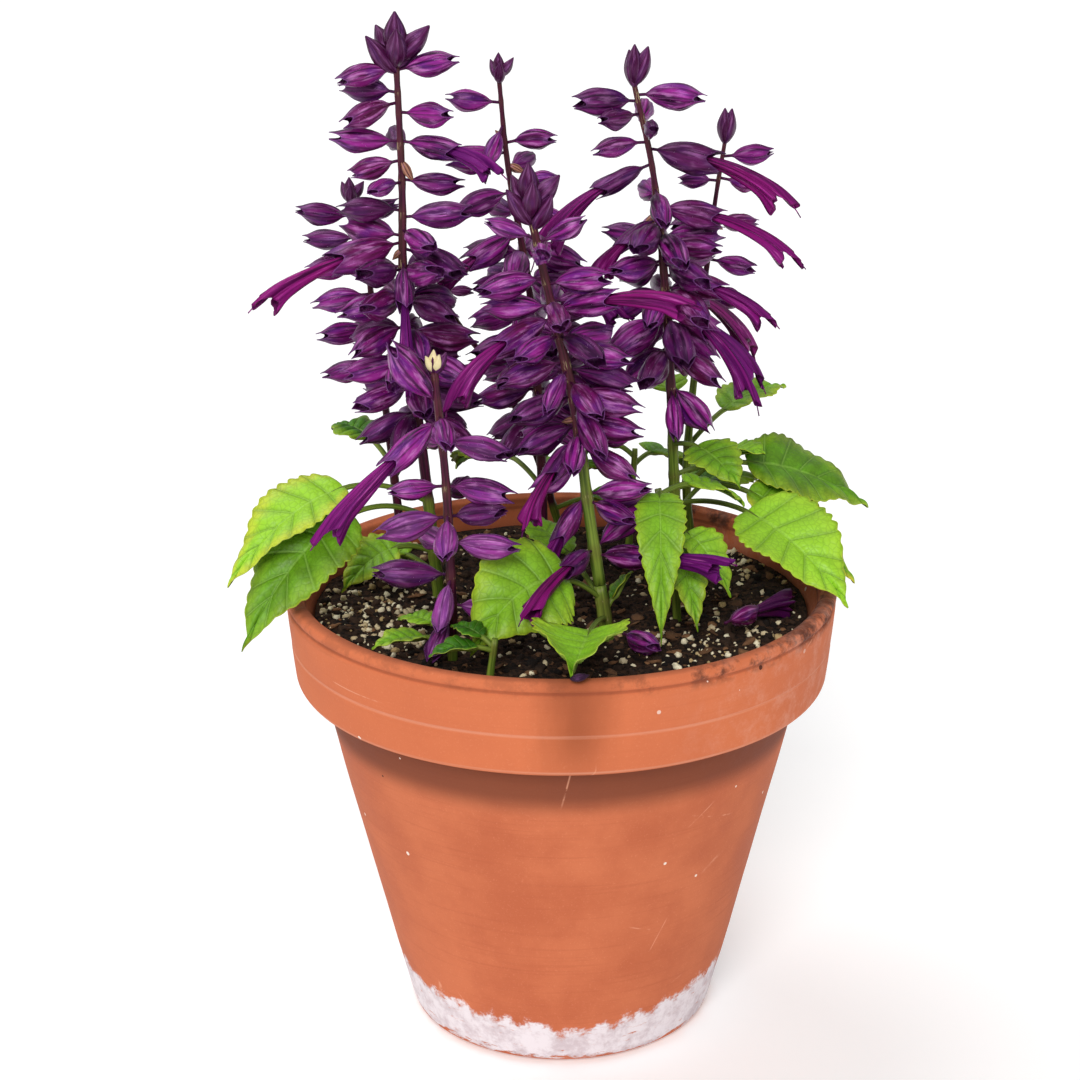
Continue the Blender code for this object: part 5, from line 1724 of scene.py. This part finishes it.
def stem_look():
    """Green low down and maroon above, grooved lengthwise; on stems deep in the tangle the maroon starts low
    as painted shade.
    """
    look = Look("stem_two_tone", 0.42, 0.4, (226, 190, 200))
    swell, maroon_and_shade_share, _ = look.split(look.vector("mark"))
    grain = look.vector("grain")
    streak = look.noise(look.scaled(grain, 2.2, 2.2, 0.25), 1.0, 3.0, 0.6)
    fine = look.noise(look.scaled(grain, 6.0, 6.0, 2.0), 1.0, 3.0, 0.6)
    green = look.mix(look.span(streak, 0.35, 0.65), (70, 96, 26), (134, 156, 58))
    purple = look.mix(look.span(streak, 0.38, 0.62), (40, 8, 26), (84, 20, 54))
    # Maroon above the given height: the stems' colour, and on low stems painted shade
    blend = look.plus(maroon_and_shade_share, look.times(look.plus(streak, -0.5), 0.6))
    look.painted = look.mix(look.span(blend, 0.25, 0.75), green, purple)
    look.paint(look.times(swell, 0.35), (96, 60, 40))
    look.paint(look.span(fine, 0.6, 0.75, 0.0, 0.2), (150, 96, 110))
    spot = look.times(look.span(fine, 0.58, 0.64), look.span(swell, 0.85, 1.0, 0.0, 0.8))
    look.paint(spot, (222, 206, 150))
    return look.complete(look.plus(streak, look.times(fine, 0.3)), 0.2)


def vein_lines(look, between, out):
    """One along the midrib and the side veins of a leaf, and zero between them."""
    side = look.span(look.plus(between, look.times(out, 0.02)), 0.02, 0.075, 1.0, 0.0)
    side = look.times(side, look.span(out, 0.9, 1.0, 1.0, 0.2))
    return look.number("MAXIMUM", side, look.span(out, 0.015, 0.06, 1.0, 0.0))


def leaf_look(name, dark, green, pale, yellow, vein_colour, vein_share, rough):
    """A leaf face: quilted green with veins, a finer net between them and a paler margin, with painted shade
    beside the veins and along the net, and a paleness per leaf that is partly painted light and shade.
    """
    look = Look(name, rough, 0.3)
    across, tone, margin = look.split(look.vector("mark"))
    grain = look.vector("grain")
    flat = look.scaled(grain, 1.0, 1.0, 0.0)
    patch = look.noise(flat, 0.9, 4.0, 0.6)
    net = look.cells(flat, 5.5, feature="DISTANCE_TO_EDGE")[0]
    out = look.apart(across)
    between = look.number("PINGPONG", look.times(look.split(grain)[2], float(VEIN_PAIRS)), 0.5)
    veins = vein_lines(look, between, out)
    look.painted = look.mix(look.span(patch, 0.35, 0.68), dark, green)
    # Each leaf's paleness: partly its own yellowness, partly painted light and shade per leaf
    look.paint(look.span(tone, 0.0, 1.0), pale)
    edge = look.plus(out, look.times(look.plus(patch, -0.5), 0.8))
    look.paint(look.times(look.span(edge, 0.45, 0.95), margin), yellow)
    # Darker along the fine net of veinlets: partly their colour, partly painted shade in the quilting's
    # hollows
    look.paint(look.times(look.span(net, 0.0, 0.12, 1.0, 0.0), 0.2), dark)
    # Dark bands beside the side veins: painted shade in the sunken vein grooves
    look.paint(look.span(between, 0.0, 0.2, 0.28, 0.0), dark)
    look.paint(look.times(veins, vein_share), vein_colour)
    look.paint(look.span(out, 0.955, 1.0, 0.0, 0.5), yellow)
    look.set("Roughness", look.span(patch, 0.3, 0.7, rough - 0.06, rough + 0.12))
    relief = look.number("SUBTRACT", look.times(net, 0.8), look.times(veins, 0.6))
    return look.complete(look.plus(relief, look.times(look.noise(flat, 9.0, 3.0), 0.3)), 0.3)


def flower_solids(aim, petals, grow=0.0, sides=FLOWER_SIDES):
    """A flower's plain solids, each with the part of it that is past its stalk."""
    made = plain_calyx(*aim, opened=bool(petals), grow=grow, sides=sides)
    solids = [(made, without_root(made))]
    if petals:
        made = plain_corolla(*aim, *petals, grow=grow)
        solids.append((made, made))
    return solids


def place_flower(crowd, owner, path, row, sides=FLOWER_SIDES):
    """The aim of one calyx or open flower, turned clear of all that stands, or nothing."""
    height, azimuth, pitch, length, *petals = row
    root = on_stem(path, height)
    tries = sorted((abs(t) + LIFT_COST * abs(l), t, l) for t in TURNS for l in LIFTS)
    for _, turn, lift in tries:
        aim = (root, azimuth + turn, pitch + lift, length)
        if crowd.all_clear(flower_solids(aim, petals, GAP, sides), owner):
            crowd.add_all(flower_solids(aim, petals, sides=sides), owner)
            return [("flower", aim, petals)]
    return []


def place_leaf(crowd, owner, path, row):
    """The row of a leaf lifted or swung clear of all that stands, or nothing."""
    height, tip, *form = row
    root = on_stem(path, height)
    x, y, z = np.array(tip, float) - root
    tries = sorted((abs(l) + abs(s), l, s) for l in LEAF_LIFTS for s in LEAF_SWINGS)
    for _, lift, swing in tries:
        cos, sin = math.cos(math.radians(swing)), math.sin(math.radians(swing))
        shape = (root, root + np.array([x * cos - y * sin, x * sin + y * cos, z + lift]), *form)
        wide = plain_leaf(*shape, grow=GAP)
        if crowd.clear(wide, owner, without_petiole(wide)):
            made = plain_leaf(*shape)
            crowd.add(made, owner, without_petiole(made))
            return [("leaf", shape, None)]
    return []


def place_fallen(crowd, name, row):
    """The aim of a fallen calyx or flower, raised out of the soil until it lies just above it."""
    (x, y), azimuth, length, *petals = row
    height = SOIL_HEIGHT
    while True:
        aim = (np.array([x, y, height]), azimuth, 0, length)
        if crowd.all_clear(flower_solids(aim, petals, GAP), name):
            crowd.add_all(flower_solids(aim, petals), name)
            return [("flower", aim, petals)]
        height += FALLEN_STEP


def head(path, row):
    """The aims of a bud head: slim buds that fan out round the tip of a stem."""
    count, length, pitch, spread = row
    tip = path[-1]
    buds = [(on_stem(path, tip[2] - 1.0), *TOP_BUD, length)]
    for i in range(count - 1):
        root = on_stem(path, tip[2] - spread * (i + 1) / count)
        size = length * (1 - HEAD_SIZE_STEP * (i % 2))
        buds.append((root, HEAD_TURN * i, pitch + HEAD_PITCH_STEP * (i % 3), size))
    return buds


def stem_lines(path, radius, split):
    """The centre line and radii of a stem's green foot, and of its purple top or nothing."""
    foot = path[0] - np.array([0, 0, HOLE_DEPTH - GAP])
    whole = np.vstack([foot, path])
    sizes = np.interp(whole[:, 2], (path[0][2], path[-1][2]), radius)
    if split is None:
        return (whole, sizes), None
    cut = on_stem(path, split)
    cut_above = on_stem(path, split + GAP)
    size = float(np.interp(split, whole[:, 2], sizes))
    below = whole[:, 2] < split - SPLIT_CLEAR
    above = whole[:, 2] > split + SPLIT_CLEAR
    green = (np.vstack([whole[below], cut]), [*sizes[below], size])
    purple = (np.vstack([cut_above, whole[above]]), [size, *sizes[above]])
    return green, purple


def spike(name):
    return name + "_flower_spike"


def green_node(name):
    return name + "_leafy_stem" if name in STEMS else name


def placed_parts():
    """Everything that grows or has fallen, by CAD node, placed by the rule of the CAD source."""
    crowd = Crowd()
    crowd.add(turned(pot_profile(), POT_SIDES), "pot")
    crowd.add(soil_solid(), "soil")
    paths = {name: smooth_path(grown["path"], STEM_STEP) for name, grown in PLANTS.items()}
    parts = {}
    for name, grown in PLANTS.items():
        green, purple = stem_lines(paths[name], grown["radius"], grown.get("split"))
        parts[green_node(name)] = []
        crowd.add(tube(*green, STEM_SIDES), green_node(name))
        if purple:
            parts[spike(name)] = []
            crowd.add(tube(*purple, STEM_SIDES), spike(name))
    for name, row in HEADS.items():
        for aim in head(paths[name], row):
            parts[spike(name)].append(("bud", aim, None))
            made = plain_bud(*aim)
            crowd.add(made, spike(name), made)
    for name, rows in LEAVES.items():
        for row in rows:
            parts[green_node(name)] += place_leaf(crowd, green_node(name), paths[name], row)
    for table in (FLOWERS, CALYCES):
        for name, rows in table.items():
            for row in rows:
                parts[spike(name)] += place_flower(crowd, spike(name), paths[name], row)
    for number, (name, crowded) in enumerate(CROWDS.items()):
        for row in crowd_rows(crowded, number):
            parts[spike(name)] += place_flower(crowd, spike(name), paths[name], row, CROWD_SIDES)
    for name, row in FALLEN.items():
        parts[name] = place_fallen(crowd, name, row)
    return parts


def fine_stem(name, node, roots):
    """The centre line and radii of one node's part of a stem, in short steps."""
    grown = PLANTS[name]
    path = smooth_path(grown["path"], FINE_STEP)
    green, purple = stem_lines(path, grown["radius"], grown.get("split"))
    line, sizes = purple if node == spike(name) else green
    return line, sizes, sorted(roots)


def maroon_and_shade(name):
    """A function that tells how maroon a stem is at each height: its colour, and low in the tangle painted
    shade.
    """
    middle = MAROON_AND_SHADE_HEIGHTS.get(name, PLANTS[name].get("split", NEVER_RIPE))
    return lambda height: ease(height, middle - RIPE_REACH, middle + RIPE_REACH)


def plant_piece(name, node, parts, looks, number):
    """One fine piece that stands for a CAD node of the plant."""
    draw = random.Random(PIECE_SEED + number)
    shape = Shape()
    fallen, blooms = name in FALLEN, node == spike(name)
    if not fallen:
        roots = [aim[0][2] for _, aim, _ in parts]
        stem(shape, STEM_LOOK, *fine_stem(name, node, roots), maroon_and_shade(name), draw)
    if blooms:
        path = smooth_path(STEMS[name]["path"], FINE_STEP)
        for height, *lie, tone in DRY.get(name, ()):
            bud(shape, CALYX_LOOK, (on_stem(path, height), *lie), tone, draw)
    leaf_number = 0
    for kind, aim, petals in parts:
        if kind == "bud":
            bud(shape, CALYX_LOOK, aim, draw.uniform(*HEAD_TONES), draw)
        elif kind == "leaf":
            key = (name, leaf_number)
            tint = LEAF_TINTS.get(key) or [draw.uniform(*span) for span in OTHER_TINTS]
            leaf(shape, LEAF_LOOKS, aim, tint, CURLED.get(key, 0.0), draw)
            leaf_number += 1
        else:
            calyx(shape, CALYX_LOOK, aim, bool(petals), TONES.get(name, TONES["other"]), draw)
            if petals:
                corolla(shape, PETAL_LOOK, aim, petals, float(fallen), draw)
    if not blooms:
        for root, *lie, tone in WITHERED.get(name, ()):
            bud(shape, CALYX_LOOK, (np.array(root), *lie), tone, draw)
    settle(shape.make("fine_" + node, looks), node)


def settle(made, node):
    """Ties a piece to the frame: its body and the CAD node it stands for."""
    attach(made, "root")
    if node:
        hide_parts(node)


def ground_pieces():
    settle(pot_shape().make("fine_pot", [clay_look()]), "pot")
    settle(soil_shape().make("fine_soil", [soil_look()]), "soil")
    for number, (name, row) in enumerate(GRAINS.items()):
        shape = Shape()
        scatter(shape, *row["thrown"], random.Random(SEED + number))
        settle(shape.make(name, [grain_look(name + "_look", *row["look"])]), None)


def plant_pieces():
    looks = [
        stem_look(), calyx_look(), petal_look(),
        leaf_look("leaf_top", *LEAF_TOP), leaf_look("leaf_under", *LEAF_UNDER),
    ]
    names = {**{green_node(n): n for n in PLANTS}, **{spike(n): n for n in STEMS}}
    for number, (node, parts) in enumerate(placed_parts().items()):
        plant_piece(names.get(node, node), node, parts, looks, number)


def stage_floor():
    mesh = bpy.data.meshes.new("floor")
    half = FLOOR_HALF
    corners = [(-half, -half, 0), (half, -half, 0), (half, half, 0), (-half, half, 0)]
    mesh.from_pydata(corners, [], [(0, 1, 2, 3)])
    look = Look("floor_pale", 0.9, 0.1)
    look.set("Base Color", FLOOR_GREY)
    look.set("Emission Color", WHITE)
    look.set("Emission Strength", FLOOR_GLOW)
    mesh.materials.append(look.made)
    floor = linked("floor", mesh)
    floor.location = (0, 0, -FLOOR_DROP)


def light(name, place, angle, power):
    made = bpy.data.lights.new(name, "SUN")
    made.angle = math.radians(angle)
    made.energy = power
    lamp = linked(name, made)
    lamp.location = place
    lamp.rotation_euler = (-Vector(place)).to_track_quat("-Z", "Y").to_euler()


def studio():
    """A pale floor, an even white sky, soft lamps and the camera at the photo's angle."""
    stage_floor()
    scene = bpy.context.scene
    scene.view_settings.view_transform = "Standard"
    scene.world = bpy.data.worlds.new("studio")
    scene.world.use_nodes = True
    sky = scene.world.node_tree.nodes["Background"]
    sky.inputs["Color"].default_value = WHITE
    sky.inputs["Strength"].default_value = SKY
    for name, row in LAMPS.items():
        light(name, *row)
    seen = bpy.data.cameras.new("camera")
    seen.lens = CAMERA_LENS
    seen.sensor_width = CAMERA_SENSOR
    seen.shift_x = CAMERA_SHIFT
    scene.camera = linked("camera", seen)
    scene.camera.location = CAMERA_PLACE
    scene.camera.rotation_euler = (math.radians(90 - CAMERA_TILT), 0.0, 0.0)


def main():
    for thing in list(bpy.data.objects):
        bpy.data.objects.remove(thing)
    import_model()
    ground_pieces()
    plant_pieces()
    studio()


main()
